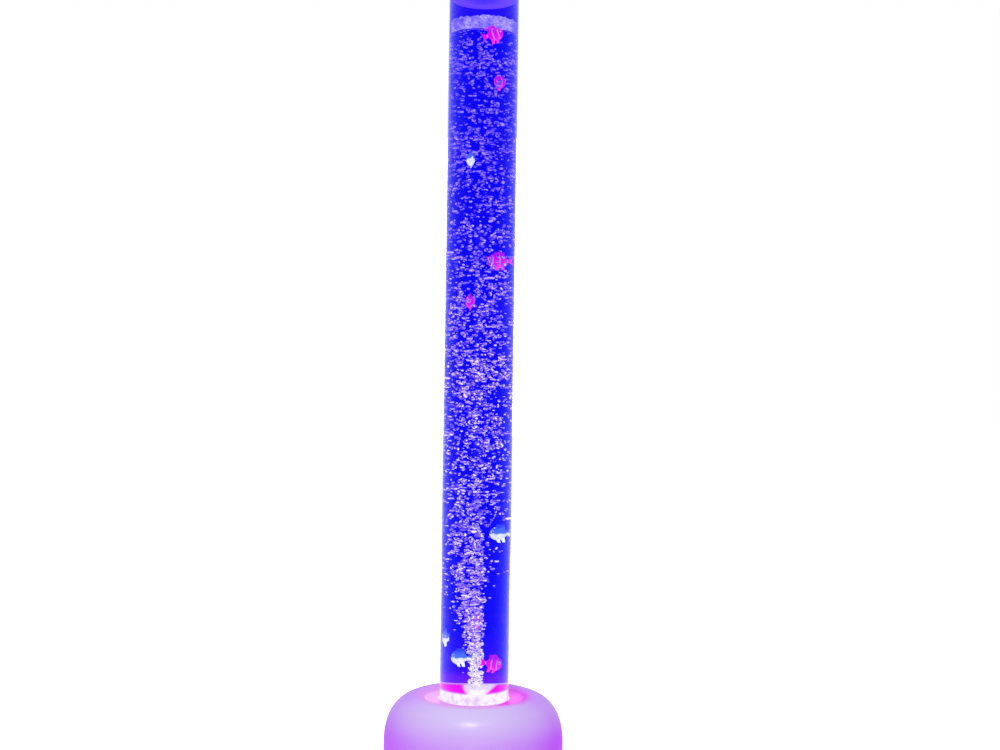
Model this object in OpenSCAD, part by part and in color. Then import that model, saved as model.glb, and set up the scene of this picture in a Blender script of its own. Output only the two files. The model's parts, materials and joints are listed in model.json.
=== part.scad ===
// Bubble tube floor lamp: a tall clear tube of water with a plume of bubbles and drifting
// plastic fish, standing in a round moulded base that holds the air pump, the light ring
// and the controls. The origin is the centre of the floor under the base, +Z is up and the
// front is -Y. All sizes are in millimetres.

/* [Lamp] */
// Height of the whole lamp, from the floor to the top of the cap
overall_h = 1200; // [800:1:1800]
// Clearance between pieces that are placed or glued together
fit_gap = 0.1; // [0.05:0.05:0.3]
// Clearance round pieces that slide or lift out
slide_gap = 0.15; // [0.1:0.05:0.4]

/* [Tube and tank] */
// Outer diameter of the clear tube
tube_d = 100; // [90:1:120]
// Wall of the clear tube
tube_wall = 3; // [2:0.5:5]
// How far the tube reaches down below the dish of the base
tube_seat = 19; // [14:1:40]
// Thickness of the clear disc that closes the tube
floor_t = 20; // [14:1:30]
// How far the tank floor stands above the dish of the base
floor_rise = 15; // [5:1:25]
// Distance of the water's surface below the cap's underside
water_gap = 52; // [40:1:200]
// Width of the sealant bead between tube and base
bead_w = 1.2; // [0.6:0.1:3]

/* [Base shell] */
// Outer diameter of the base
base_d = 258; // [240:1:320]
// Height of the ring round the dish, the highest line of the base
base_h = 170; // [150:1:220]
// Height of the rounded shoulder
shoulder_h = 68; // [40:1:75]
// Diameter of the ring where the shoulder starts
ring_d = 158; // [150:1:180]
// Squareness of the shoulder: 2 is an ellipse, more is squarer
shoulder_n = 2.3; // [2:0.05:3]
// Wall of the base shell
shell_wall = 3; // [2:0.5:5]
// Depth of the dish round the tube
dish_depth = 5; // [2:0.5:10]
// Diameter of the flat floor of the dish
dish_d = 138; // [125:1:145]
// Radius of the shell's bottom edge
rim_r = 5; // [1:0.5:8]
// Gap under the shell's bottom edge
rim_lift = 2; // [1:0.5:2.5]
// Radius of the screw bosses inside the shell
boss_r = 5; // [4:0.5:8]
// Height of the screw bosses
boss_h = 30; // [20:1:60]
// Distance of the bosses from the outside of the shell
boss_inset = 18; // [14:1:30]

/* [Plate and feet] */
// Thickness of the base plate
plate_t = 3; // [2:0.5:5]
// Height of the rubber feet
foot_h = 3; // [3:0.5:6]
// Diameter of the rubber feet
foot_d = 22; // [12:1:30]
// Distance of the feet from the axis
foot_pitch_r = 88; // [75:1:95]
// Diameter of the air holes in the plate
vent_d = 6; // [3:0.5:9]
// Number of air holes in the plate
vent_n = 12; // [4:1:20]
// Radius of the circle of air holes
vent_pitch_r = 72; // [68:1:74]
// Shank diameter of every screw
screw_d = 3; // [2:0.1:3.6]
// Head diameter of every screw
screw_head_d = 6; // [4.5:0.1:7]
// Head height of every screw
screw_head_h = 2; // [1.5:0.1:2.5]
// Length of the screws that hold the shell
shell_screw_len = 16; // [10:1:24]

/* [Tube stand] */
// Wall of the stand's cup
stand_wall = 5; // [3:0.5:8]
// Thickness of the cup's floor
stand_floor_t = 4; // [3:0.5:8]
// Width of the ledge inside the cup that the tube rests on
stand_ledge = 16; // [14:1:17]
// Width of each leg, round the axis
leg_w = 16; // [12:1:24]
// Depth of each leg, towards the axis
leg_t = 12; // [10:1:14]
// Length of the screws that hold the legs
leg_screw_len = 18; // [10:1:30]

/* [Light ring] */
// Thickness of the circuit boards
board_t = 1.6; // [1:0.1:2.4]
// Diameter of the hole in the ring board
ring_board_hole_d = 30; // [24:1:40]
// Number of light-emitting diodes
led_n = 12; // [6:1:18]
// Side of each diode
led_w = 5; // [3:0.1:6]
// Height of each diode
led_h = 1.6; // [0.8:0.1:3]
// Distance of the diodes from the tube's wall
led_inset = 8; // [6:0.5:10]
// Diameter of the leads inside the base
lead_d = 3; // [2:0.1:3.6]

/* [Air line] */
// Distance of the bubble outlet to the right of the axis
nozzle_x = 4; // [0:0.5:4]
// Stem diameter of the nozzle
nozzle_stem_d = 8; // [7:0.5:9]
// Head diameter of the nozzle
nozzle_head_d = 15; // [12:0.5:18]
// Head height of the nozzle
nozzle_head_h = 4; // [2:0.5:6]
// Across corners of the nozzle's nut
nozzle_nut_d = 15; // [13:0.5:16]
// Height of the nozzle's nut
nozzle_nut_h = 4; // [3:0.5:5]
// Thickness of the nozzle's washer
washer_t = 1.5; // [1:0.5:2]
// Bore of the air line
air_bore_d = 3; // [2:0.5:3.5]
// Diameter of the barbs that the hoses push onto
barb_d = 6; // [5:0.5:6.5]
// Length of the barbs
barb_len = 9; // [6:0.5:11]
// Outer diameter of the hoses
hose_d = 9; // [8:0.5:11]
// Outer diameter of the check valve
valve_d = 16; // [14:0.5:20]
// Height of each half of the check valve
valve_half_h = 6; // [5:0.5:8]
// Diameter of the check valve's disc
valve_disc_d = 10; // [8:0.5:11]
// Thickness of the check valve's disc
valve_disc_t = 1.2; // [0.8:0.1:1.6]
// How far the check valve's disc lifts
valve_lift = 1.5; // [0.5:0.1:2]

/* [Pump] */
// Diameter of the motor
motor_d = 24; // [20:0.5:26]
// Length of the motor
motor_len = 30; // [24:1:34]
// Wall of the motor's can
can_wall = 1; // [0.8:0.1:1.5]
// Thickness of the magnets in the motor
magnet_t = 1.4; // [1:0.1:2]
// Diameter of the motor shaft
shaft_d = 2; // [1.5:0.1:3]
// Diameter of the pump head
pump_d = 28; // [26:0.5:30]
// Height of the pump head
pump_head_h = 14; // [12:0.5:18]
// Wall of the pump head
pump_wall = 2.5; // [2:0.5:4]
// Thickness of the rubber diaphragm
diaphragm_t = 2; // [1:0.5:3]
// Height of the pump's cover
pump_cover_h = 8; // [7:0.5:10]
// Diameter of the eccentric on the shaft
eccentric_d = 9; // [7:0.5:11]
// How far the eccentric stands off the shaft's axis
eccentric_off = 2; // [1:0.25:3]
// Wall of the rubber sleeve round the motor
sleeve_wall = 3; // [2:0.5:4]
// Height of the rubber sleeve
sleeve_h = 20; // [12:1:24]
// Thickness of the sleeve's floor under the motor
sleeve_floor = 4; // [2:0.5:6]
// Wall of the cradle that holds the sleeve
cradle_wall = 2.5; // [2:0.5:3]
// Length of the screws that hold the cradle
cradle_screw_len = 6; // [5:0.5:7]

/* [Rear panel and controls] */
// Width of the rear panel
panel_w = 80; // [76:1:90]
// Height of the rear panel
panel_h = 64; // [62:1:72]
// Thickness of the rear panel
panel_t = 3; // [2:0.5:4]
// How deep the panel lies behind the back of the base
panel_depth = 11; // [10:0.5:14]
// Height of the panel's lower edge above the base plate
panel_rise = 16; // [8:1:22]
// Wall of the tunnel that holds the panel
tunnel_wall = 3; // [2:0.5:4]
// Width of the lip that the panel rests on
lip_w = 2; // [1.5:0.5:2.5]
// Thickness of that lip
lip_t = 1.5; // [1:0.5:2]
// Height of the row of buttons above the panel's lower edge
button_rise = 44; // [40:1:46]
// Distance between the buttons, and from a button to the inlet
button_pitch = 22; // [18:1:23]
// Diameter of the buttons
button_d = 11; // [9:0.5:13]
// How far the buttons stand out of the panel
button_proud = 3; // [1.5:0.5:4]
// How far the buttons travel
button_travel = 1.2; // [0.5:0.1:1.5]
// Width of the collar that keeps a button in the panel
button_collar = 1.5; // [1:0.25:2]
// Distance between the panel and the control board
board_gap = 10; // [9:0.5:12]
// Width of the control board
board_w = 74; // [70:1:74]
// Height of the control board
board_h = 34; // [30:1:36]
// Radius of the posts that carry the control board
post_r = 3; // [2.6:0.1:4]
// Length of the control board's screws
board_screw_len = 7; // [5:0.5:8]
// Side of each switch
switch_w = 7; // [6:0.5:9]
// Height of each switch
switch_h = 3.5; // [3:0.5:4]
// Diameter of the power inlet
inlet_d = 11; // [9:0.5:13]
// Bore of the power inlet
inlet_bore_d = 5.7; // [5.5:0.1:6.5]
// Depth of the power inlet's bore
inlet_bore_len = 9; // [7:0.5:10]
// How far the power inlet stands out of the panel
inlet_proud = 2; // [1:0.5:3]

/* [Remote receiver] */
// Height of the receiver's window above the base plate
window_rise = 48; // [30:1:60]
// Diameter of the window
window_d = 8; // [6:0.5:12]
// Radius of the boss behind the window
window_boss_r = 9; // [8:0.5:11]
// Depth of that boss behind the outside of the base
window_boss_len = 7; // [6:0.5:10]
// Flange thickness of the window
window_flange_t = 1.5; // [1:0.5:3]
// Side of the receiver
receiver_w = 7; // [5:0.5:8]
// Depth of the receiver
receiver_t = 4; // [3:0.5:6]

/* [Drain] */
// Distance of the drain behind the axis
drain_y = 25; // [24:0.5:25]
// Outer diameter of the drain pipe
drain_d = 11; // [9:0.5:11]
// Bore of the drain pipe
drain_bore_d = 7; // [5:0.5:8]
// Depth of the pipe's socket in the tank floor
drain_socket = 8; // [5:0.5:10]
// Height of the drain's outlet above the panel's lower edge
drain_rise = 12; // [10:0.5:14]
// Length of the plug in the pipe
plug_len = 14; // [8:1:24]
// Head diameter of the plug
plug_head_d = 15; // [13:0.5:18]
// Head thickness of the plug
plug_head_t = 5; // [3:0.5:7]
// How far the plug is pulled to come out
plug_pull = 25; // [24:1:60]

/* [Cap] */
// Height of the cap above the tube
cap_h = 12; // [8:0.5:20]
// Height of the skirt outside the tube
skirt_h = 8; // [4:0.5:14]
// Wall of the skirt
skirt_wall = 3; // [2:0.5:5]
// Radius of the cap's top edge
cap_edge_r = 5; // [2:0.5:6]
// Length of the plug inside the tube
cap_plug_len = 19; // [14:0.5:30]
// Wall of the plug
cap_plug_wall = 3; // [2.5:0.5:4]
// Height of the seal ring
seal_h = 3; // [2:0.5:4]
// Depth of the seal's groove in the plug
seal_groove = 1.2; // [0.8:0.1:1.5]
// Diameter of the vent hole through the cap
cap_vent_d = 4; // [2:0.5:6]
// How far the cap lifts to come off
cap_lift = 60; // [50:1:120]

/* [Fish] */
// Length of a fish, nose to tail
fish_len = 30; // [24:0.5:31]
// Height of a fish's body without its fins
fish_h = 19; // [14:0.5:20.5]
// Thickness of a fish
fish_t = 8.5; // [6:0.5:9]
// Thickness of the fins
fin_t = 1.6; // [1.2:0.1:2]
// Height of the back fin and the belly fins
fin_h = 4.5; // [2:0.5:5]

/* [Hidden] */
// Each fish: across and back from the axis as shares of the tube's inner radius, the way
// it heads, its nose-up tilt, its height as a share of the water's depth, and its colour
FISH = [
    [ 0.255, -0.766,  12,  20, 0.9937, "orangered"],
    [ 0.277,  0.600,  86,  10, 0.9340, "orangered"],
    [-0.249, -0.085,  95, -10, 0.8108, "lightskyblue"],
    [ 0.445,  0.155, 180,   0, 0.6560, "orangered"],
    [-0.191,  0.617,  90,   0, 0.5939, "orangered"],
    [ 0.630, -0.106, 186,   0, 0.2390, "lightskyblue"],
    [ 0.043,  0.511,  90,  10, 0.0993, "orangered"],
    [-0.702, -0.043, 240,   5, 0.0779, "lightskyblue"],
    [-0.340, -0.606, 180,   0, 0.0529, "lightskyblue"],
    [ 0.457, -0.447,   0,  -8, 0.0430, "orangered"],
];

$fn = 96;
eps = 0.01;   // how far a cut runs past a face

tube_r = tube_d / 2;
tank_r = tube_r - tube_wall;
base_r = base_d / 2;
ring_r = ring_d / 2;
dish_r = dish_d / 2;
screw_r = screw_d / 2;

// Heights, from the floor up
plate_z = foot_h;
plate_top = plate_z + plate_t;
shoulder_z = base_h - shoulder_h;
dish_z = base_h - dish_depth;
tank_z = dish_z + floor_rise;
tube_z = dish_z - tube_seat;
tube_top = overall_h - cap_h - fit_gap;
cap_plug_z = tube_top - cap_plug_len;
water_z = cap_plug_z - water_gap;
water_depth = water_z - tank_z;
stand_floor_z = tube_z - stand_floor_t;
stand_top = dish_z - shell_wall - fit_gap;

// The pump stands on the plate and the air line rises from it to the nozzle
cradle_floor = cradle_wall;
sleeve_z = plate_top + cradle_floor;
motor_z = sleeve_z + sleeve_floor;
pump_z = motor_z + motor_len;
diaphragm_z = pump_z + pump_head_h;
cover_z = diaphragm_z + diaphragm_t;
cover_top = cover_z + pump_cover_h;
nozzle_low = tank_z - floor_t - washer_t - nozzle_nut_h - barb_len;
valve_z = (cover_top + barb_len + nozzle_low) / 2;

// The panel's front face, and the rows of what it carries
panel_y = base_r - panel_depth;
panel_z = plate_top + panel_rise;
panel_mid_z = panel_z + panel_h / 2;
button_z = panel_z + button_rise;
drain_z = panel_z + drain_rise;
board_y = panel_y - panel_t - board_gap;
window_z = plate_top + window_rise;
window_in_y = -base_r + window_boss_len;
receiver_back = window_in_y + window_flange_t + receiver_t + board_t;

drain_r = drain_d / 2;
cap_r = tube_r + slide_gap + skirt_wall;
cap_plug_r = tank_r - 2 * slide_gap;
screw_circle_r = base_r - boss_inset;
leg_r = tube_r + stand_wall - leg_t / 2;

// A ring or hollow cylinder standing at height z
module ring(z, h, outer, inner) {
    translate([0, 0, z])
        difference() {
            cylinder(r = outer, h = h);
            translate([0, 0, -eps]) cylinder(r = inner, h = h + 2 * eps);
        }
}

// Its children, turned to each of n places round the axis, the first at angle a
module around(n, a = 0) {
    for (i = [0 : n - 1]) rotate(a + i * 360 / n) children();
}

// Its children laid from the axis towards the back
module to_back() { rotate([-90, 0, 0]) children(); }

// A screw with its head below z = 0 and its shank above
module screw(len) {
    translate([0, 0, -screw_head_h]) cylinder(d = screw_head_d, h = screw_head_h, $fn = 32);
    cylinder(r = screw_r, h = len, $fn = 32);
}

// A round lead swept along a list of points
function unit(v) = v / norm(v);
function lead_way(p, i) = unit(p[min(i + 1, len(p) - 1)] - p[max(i - 1, 0)]);
function lead_ring(p, i, r, sides) =
    let (w = lead_way(p, i), s = unit(cross(w, abs(w.x) < 0.9 ? [1, 0, 0] : [0, 1, 0])),
         u = cross(w, s))
    [for (k = [0 : sides - 1]) p[i] + r * (cos(360 * k / sides) * s + sin(360 * k / sides) * u)];
module lead(p, r, sides = 8) {
    n = len(p);
    points = [for (i = [0 : n - 1]) each lead_ring(p, i, r, sides)];
    skin = [for (i = [0 : n - 2], k = [0 : sides - 1])
        let (a = i * sides + k, b = i * sides + (k + 1) % sides)
        each [[a, b + sides, b], [a, a + sides, b + sides]]];
    ends = [[for (k = [0 : sides - 1]) k],
            [for (k = [sides - 1 : -1 : 0]) (n - 1) * sides + k]];
    polyhedron(points = points, faces = concat(skin, ends), convexity = 8);
}

// ---- Base shell ----

// Outline of the shoulder: a quarter of a superellipse from the ring out to the wall,
// drawn w inside the outer face
function shoulder(w, steps = 20) =
    [for (i = [0 : steps]) let (t = 90 * (1 - i / steps))
        [ring_r + (base_r - w - ring_r) * pow(cos(t), 2 / shoulder_n),
         shoulder_z + (shoulder_h - w) * pow(sin(t), 2 / shoulder_n)]];
// Outline of the dish from its flat floor up to the ring, drawn w below the outer face
function dish(w, steps = 8) =
    [for (i = [0 : steps - 1]) let (s = i / steps)
        [dish_r + (ring_r - dish_r) * s,
         dish_z + dish_depth * (1 - cos(180 * s)) / 2 - w]];
// Rounded bottom edge, drawn w inside the outer face
function rim(w, steps = 6) =
    [for (i = [0 : steps]) let (t = 90 * i / steps)
        [base_r - rim_r + (rim_r - w) * cos(t), rim_lift + rim_r - (rim_r - w) * sin(t)]];

function reversed(v) = [for (i = [len(v) - 1 : -1 : 0]) v[i]];
module shell_profile() {
    hole_r = tube_r + bead_w;
    polygon(concat(
        [[hole_r, dish_z]], dish(0), shoulder(0), rim(0),
        [[base_r - shell_wall, rim_lift + rim_r]],
        reversed(shoulder(shell_wall)), reversed(dish(shell_wall)),
        [[hole_r, dish_z - shell_wall]]));
}

// A block of the rear tunnel, w larger than the panel all round, from y0 to the back
module panel_block(w, y0) {
    translate([-panel_w / 2 - w, y0, panel_z - w])
        cube([panel_w + 2 * w, base_r, panel_h + 2 * w]);
}

module base_shell() {
    color([0.80, 0.76, 0.95])
    difference() {
        union() {
            rotate_extrude($fn = 144) shell_profile();
            // tunnel that the rear panel sits in
            intersection() {
                panel_block(tunnel_wall, panel_y - panel_t - lip_t);
                translate([0, 0, rim_lift + rim_r])
                    cylinder(r = base_r, h = shoulder_z - rim_lift - rim_r, $fn = 144);
            }
            // bosses for the plate's screws, each tied to the wall
            around(4, 45) {
                translate([screw_circle_r, 0, plate_top]) cylinder(r = boss_r, h = boss_h);
                translate([screw_circle_r, -shell_wall / 2, plate_top])
                    cube([boss_inset - shell_wall / 2, shell_wall, boss_h]);
            }
            // boss behind the receiver's window
            translate([0, -base_r + shell_wall / 2, window_z])
                to_back() cylinder(r = window_boss_r, h = window_boss_len - shell_wall / 2);
        }
        panel_block(0, panel_y - panel_t);
        panel_block(-lip_w, panel_y - panel_t - lip_t - eps);
        around(4, 45)
            translate([screw_circle_r, 0, plate_top - eps])
                cylinder(r = screw_r + fit_gap, h = boss_h - 2);
        translate([0, -base_r - eps, window_z])
            to_back() cylinder(d = window_d + 2 * fit_gap, h = window_boss_len + 1);
    }
}

// ---- Plate, feet and screws ----

module base_plate() {
    color("lightgray")
    difference() {
        translate([0, 0, plate_z]) cylinder(r = base_r - rim_r - fit_gap, h = plate_t);
        around(4, 45) {
            translate([screw_circle_r, 0, plate_z - eps])
                cylinder(r = screw_r + fit_gap, h = plate_t + 1);
            translate([leg_r, 0, plate_z - eps])
                cylinder(r = screw_r + fit_gap, h = plate_t + 1);
        }
        around(2, 0) translate([cradle_screw_r(), 0, plate_z - eps])
            cylinder(r = screw_r + fit_gap, h = plate_t + 1);
        around(vent_n, 180 / vent_n)
            translate([vent_pitch_r, 0, plate_z - eps]) cylinder(d = vent_d, h = plate_t + 1);
    }
}

module feet() {
    color("dimgray")
    around(4) translate([foot_pitch_r, 0, 0]) cylinder(d = foot_d, h = foot_h);
}

module shell_screws() {
    color("silver")
    around(4, 45) translate([screw_circle_r, 0, plate_z]) screw(shell_screw_len);
}

// ---- Tube stand, tube and tank floor ----

module tube_stand() {
    cup_r = tube_r + stand_wall;
    color("white")
    difference() {
        union() {
            translate([0, 0, stand_floor_z]) cylinder(r = cup_r, h = stand_top - stand_floor_z);
            around(4, 45)
                translate([leg_r - leg_t / 2, -leg_w / 2, plate_top])
                    cube([leg_t, leg_w, stand_floor_z + eps - plate_top]);
        }
        translate([0, 0, tube_z]) cylinder(r = tube_r + fit_gap, h = stand_top);
        translate([0, 0, stand_floor_z - 1]) cylinder(r = tank_r - stand_ledge, h = stand_top);
        around(4, 45)
            translate([leg_r, 0, plate_top - eps])
                cylinder(r = screw_r + fit_gap, h = leg_screw_len);
        // the square corners of the legs end at the cup's own outline
        ring(plate_top - 1, stand_top, cup_r + leg_w, cup_r);
    }
}

module stand_screws() {
    color("silver")
    around(4, 45) translate([leg_r, 0, plate_z]) screw(leg_screw_len);
}

module sealant_bead() {
    color("white", 0.6)
    ring(dish_z - shell_wall, shell_wall, tube_r + bead_w, tube_r);
}

module tube() {
    color("blue", 0.35)
    ring(tube_z, tube_top - tube_z, tube_r, tank_r);
}

module tank_floor() {
    color("lavender", 0.7)
    difference() {
        translate([0, 0, tank_z - floor_t]) cylinder(r = tank_r - fit_gap, h = floor_t);
        translate([nozzle_x, 0, tank_z - floor_t - 1])
            cylinder(d = nozzle_stem_d + 2 * fit_gap, h = floor_t + 2);
        translate([0, drain_y, tank_z - floor_t - 1]) {
            cylinder(d = drain_bore_d, h = floor_t + 2);
            cylinder(r = drain_r + fit_gap, h = drain_socket + 1);
        }
    }
}

// ---- Air line, from the nozzle down to the pump ----

// A barbed spout with its bore, pointing up from z
module barb(z) { ring(z, barb_len, barb_d / 2, air_bore_d / 2); }

module nozzle() {
    color("white")
    translate([nozzle_x, 0, 0]) {
        ring(nozzle_low, barb_len, barb_d / 2, air_bore_d / 2);
        ring(nozzle_low + barb_len, tank_z - nozzle_low - barb_len, nozzle_stem_d / 2,
             air_bore_d / 2);
        ring(tank_z, nozzle_head_h, nozzle_head_d / 2, air_bore_d / 2);
    }
}

module nozzle_washer() {
    color("dimgray")
    translate([nozzle_x, 0, 0])
        ring(tank_z - floor_t - washer_t, washer_t, nozzle_nut_d / 2,
             nozzle_stem_d / 2 + fit_gap);
}

module nozzle_nut() {
    color("white")
    translate([nozzle_x, 0, tank_z - floor_t - washer_t - nozzle_nut_h])
        difference() {
            cylinder(d = nozzle_nut_d, h = nozzle_nut_h, $fn = 6);
            translate([0, 0, -1]) cylinder(d = nozzle_stem_d + 2 * fit_gap, h = nozzle_nut_h + 2);
        }
}

// A straight stretch of hose on the air line
module hose(z0, z1) {
    color("white", 0.5)
    translate([nozzle_x, 0, 0]) ring(z0, z1 - z0, hose_d / 2, barb_d / 2 + fit_gap);
}
module upper_hose() { hose(valve_z + valve_half_h + fit_gap, nozzle_low + barb_len - fit_gap); }
module lower_hose() { hose(cover_top + fit_gap, valve_z - valve_half_h - fit_gap); }

// Room for the check valve's disc, above and below the joint of the two halves
valve_seat_z = valve_z - valve_lift;
valve_room_h = fit_gap + valve_disc_t + valve_lift + fit_gap;

module valve_half(z, barb_z) {
    difference() {
        union() {
            translate([0, 0, z]) cylinder(d = valve_d, h = valve_half_h);
            translate([0, 0, barb_z]) cylinder(d = barb_d, h = barb_len + eps);
        }
        translate([0, 0, valve_seat_z]) cylinder(d = valve_disc_d + 1, h = valve_room_h);
        translate([0, 0, z - barb_len - 1])
            cylinder(d = air_bore_d, h = valve_half_h + 2 * barb_len + 2);
    }
}
module valve_top() {
    color("white")
    translate([nozzle_x, 0, 0]) valve_half(valve_z, valve_z + valve_half_h - eps);
}
module valve_body() {
    color("white")
    translate([nozzle_x, 0, 0])
        valve_half(valve_z - valve_half_h, valve_z - valve_half_h - barb_len);
}
module valve_disc() {
    color("dimgray")
    translate([nozzle_x, 0, valve_seat_z + fit_gap]) cylinder(d = valve_disc_d, h = valve_disc_t);
}

// ---- Pump ----

module pump_cover() {
    color("white")
    translate([nozzle_x, 0, 0]) {
        difference() {
            translate([0, 0, cover_z]) cylinder(d = pump_d, h = pump_cover_h);
            translate([0, 0, cover_z - 1])
                cylinder(r = pump_d / 2 - pump_wall, h = pump_cover_h - pump_wall + 1);
            translate([0, 0, cover_z]) cylinder(d = air_bore_d, h = pump_cover_h + 1);
        }
        barb(cover_top - eps);
    }
}

module diaphragm() {
    color("dimgray")
    translate([nozzle_x, 0, diaphragm_z]) cylinder(d = pump_d, h = diaphragm_t);
}

module pump_head() {
    color("white")
    translate([nozzle_x, 0, pump_z])
        difference() {
            cylinder(d = pump_d, h = pump_head_h);
            translate([0, 0, pump_wall]) cylinder(r = pump_d / 2 - pump_wall, h = pump_head_h);
            translate([0, 0, -1]) cylinder(d = shaft_d + 4, h = pump_wall + 2);
            translate([0, 0, pump_head_h / 2]) rotate([90, 0, 0])
                cylinder(d = air_bore_d, h = pump_d);
        }
}

module motor_can() {
    color("silver")
    translate([nozzle_x, 0, motor_z])
        difference() {
            cylinder(d = motor_d, h = motor_len);
            translate([0, 0, can_wall])
                cylinder(r = motor_d / 2 - can_wall, h = motor_len - 2 * can_wall);
            translate([0, 0, motor_len / 2]) cylinder(d = shaft_d + fit_gap, h = motor_len);
        }
}

module motor_magnets() {
    outer = motor_d / 2 - can_wall;
    color("gray")
    translate([nozzle_x, 0, 0])
        ring(motor_z + motor_len / 4, motor_len / 2, outer, outer - magnet_t);
}

module motor_rotor() {
    core_r = motor_d / 2 - can_wall - magnet_t - 0.5;
    color("darkgoldenrod")
    translate([nozzle_x, 0, 0]) {
        translate([0, 0, motor_z + motor_len / 4]) cylinder(r = core_r, h = motor_len / 2);
        translate([0, 0, motor_z + can_wall + slide_gap])
            cylinder(d = shaft_d, h = diaphragm_z - pump_wall - motor_z - can_wall);
        translate([eccentric_off, 0, pump_z + pump_wall + 1])
            cylinder(d = eccentric_d, h = pump_head_h - 2 * pump_wall - 2);
    }
}

sleeve_r = motor_d / 2 + sleeve_wall;
module pump_sleeve() {
    color("dimgray")
    translate([nozzle_x, 0, sleeve_z])
        difference() {
            cylinder(r = sleeve_r, h = sleeve_floor + sleeve_h);
            translate([0, 0, sleeve_floor]) cylinder(r = motor_d / 2 + fit_gap, h = sleeve_h + 1);
        }
}

ear_w = 2 * screw_head_d;
function cradle_screw_r() = sleeve_r + cradle_wall + nozzle_x + ear_w / 2;
module pump_cradle() {
    outer = sleeve_r + fit_gap + cradle_wall;
    color("lightgray")
    difference() {
        union() {
            translate([nozzle_x, 0, plate_top]) cylinder(r = outer, h = sleeve_h);
            translate([-cradle_screw_r() - ear_w / 2, -ear_w / 2, plate_top])
                cube([2 * cradle_screw_r() + ear_w, ear_w, cradle_screw_len]);
        }
        translate([nozzle_x, 0, sleeve_z]) cylinder(r = sleeve_r + fit_gap, h = sleeve_h);
        around(2) translate([cradle_screw_r(), 0, plate_top - 1])
            cylinder(r = screw_r + fit_gap, h = cradle_screw_len);
    }
}

module cradle_screws() {
    color("silver")
    around(2) translate([cradle_screw_r(), 0, plate_z])
        screw(cradle_screw_len + plate_t - 2);
}

// ---- Light ring ----

module ring_board() {
    color("white")
    difference() {
        ring(tube_z, board_t, tank_r - fit_gap, ring_board_hole_d / 2);
        translate([0, drain_y, tube_z - 1]) cylinder(r = drain_r + 0.5, h = board_t + 2);
    }
}

// The diodes, half a step round from the drain pipe
module leds() {
    color("lightyellow")
    around(led_n, 90 + 180 / led_n)
        translate([tank_r - led_inset - led_w / 2, -led_w / 2, tube_z + board_t])
            cube([led_w, led_w, led_h]);
}

// Routes of the leads, in points chosen by hand: from each load down and back to the
// control board
lead_r = lead_d / 2;
board_back = board_y - board_t;
ring_route = [[-24, 16, tube_z], [-24, 16, tube_z - 12], [-23, 18, 120], [-18, 30, 96],
    [-18, 60, 78], [-24, board_back - 12, 72], [-24, board_back, 72]];
pump_route = [[nozzle_x - pump_d / 2, 0, pump_z + 8], [-20, 0, pump_z + 8], [-20, 18, 56],
    [-16, 45, 60], [-14, board_back - 12, 62], [-14, board_back, 62]];
receiver_route = [[6, receiver_back, window_z], [6, receiver_back + 14, window_z],
    [30, -84, 24], [66, -40, 12], [74, 0, 12], [66, 40, 14], [40, 76, 38],
    [24, board_back - 12, 58], [24, board_back, 58]];

module ring_lead() { color("red") lead(ring_route, lead_r); }
module pump_lead() { color("black") lead(pump_route, lead_r); }
module receiver_lead() { color("gray") lead(receiver_route, lead_r); }

// ---- Rear panel and controls ----

// Places of the control board's four posts
module at_posts() {
    for (x = [-1, 1], z = [-1, 1])
        translate([x * (board_w / 2 - post_r - 1), 0,
                   button_z + z * (board_h / 2 - post_r - 1)]) children();
}

module rear_panel() {
    color([0.25, 0.25, 0.28])
    difference() {
        union() {
            translate([-panel_w / 2 + fit_gap, panel_y - panel_t, panel_z + fit_gap])
                cube([panel_w - 2 * fit_gap, panel_t, panel_h - 2 * fit_gap]);
            at_posts() translate([0, board_y, 0])
                to_back() cylinder(r = post_r, h = board_gap + eps);
        }
        for (x = [-button_pitch, 0])
            translate([x, panel_y - panel_t - 1, button_z])
                to_back() cylinder(d = button_d + 2 * slide_gap, h = panel_t + 2);
        translate([button_pitch, panel_y - panel_t - 1, button_z])
            to_back() cylinder(d = inlet_d + 2 * fit_gap, h = panel_t + 2);
        translate([0, panel_y - panel_t - 1, drain_z])
            to_back() cylinder(r = drain_r + fit_gap, h = panel_t + 2);
        at_posts() translate([0, board_y - 1, 0])
            to_back() cylinder(r = screw_r * 0.7 + fit_gap, h = board_gap);
    }
}

module control_board() {
    color("darkgreen")
    difference() {
        translate([-board_w / 2, board_y - board_t, button_z - board_h / 2])
            cube([board_w, board_t, board_h]);
        at_posts() translate([0, board_y - board_t - 1, 0])
            to_back() cylinder(r = screw_r * 0.7 + fit_gap, h = board_t + 2);
    }
}

module board_screws() {
    color("silver")
    at_posts() translate([0, board_y - board_t, 0]) to_back() {
        translate([0, 0, -screw_head_h * 0.7]) cylinder(d = screw_head_d * 0.8, h = screw_head_h * 0.7);
        cylinder(r = screw_r * 0.7, h = board_screw_len);
    }
}

tip_r = switch_w / 4;
module switches() {
    color("black")
    for (x = [-button_pitch, 0])
        translate([x, board_y, button_z])
            difference() {
                translate([-switch_w / 2, 0, -switch_w / 2])
                    cube([switch_w, switch_h, switch_w]);
                translate([0, fit_gap, 0])
                    to_back() cylinder(r = tip_r + slide_gap, h = switch_h);
            }
}

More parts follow.
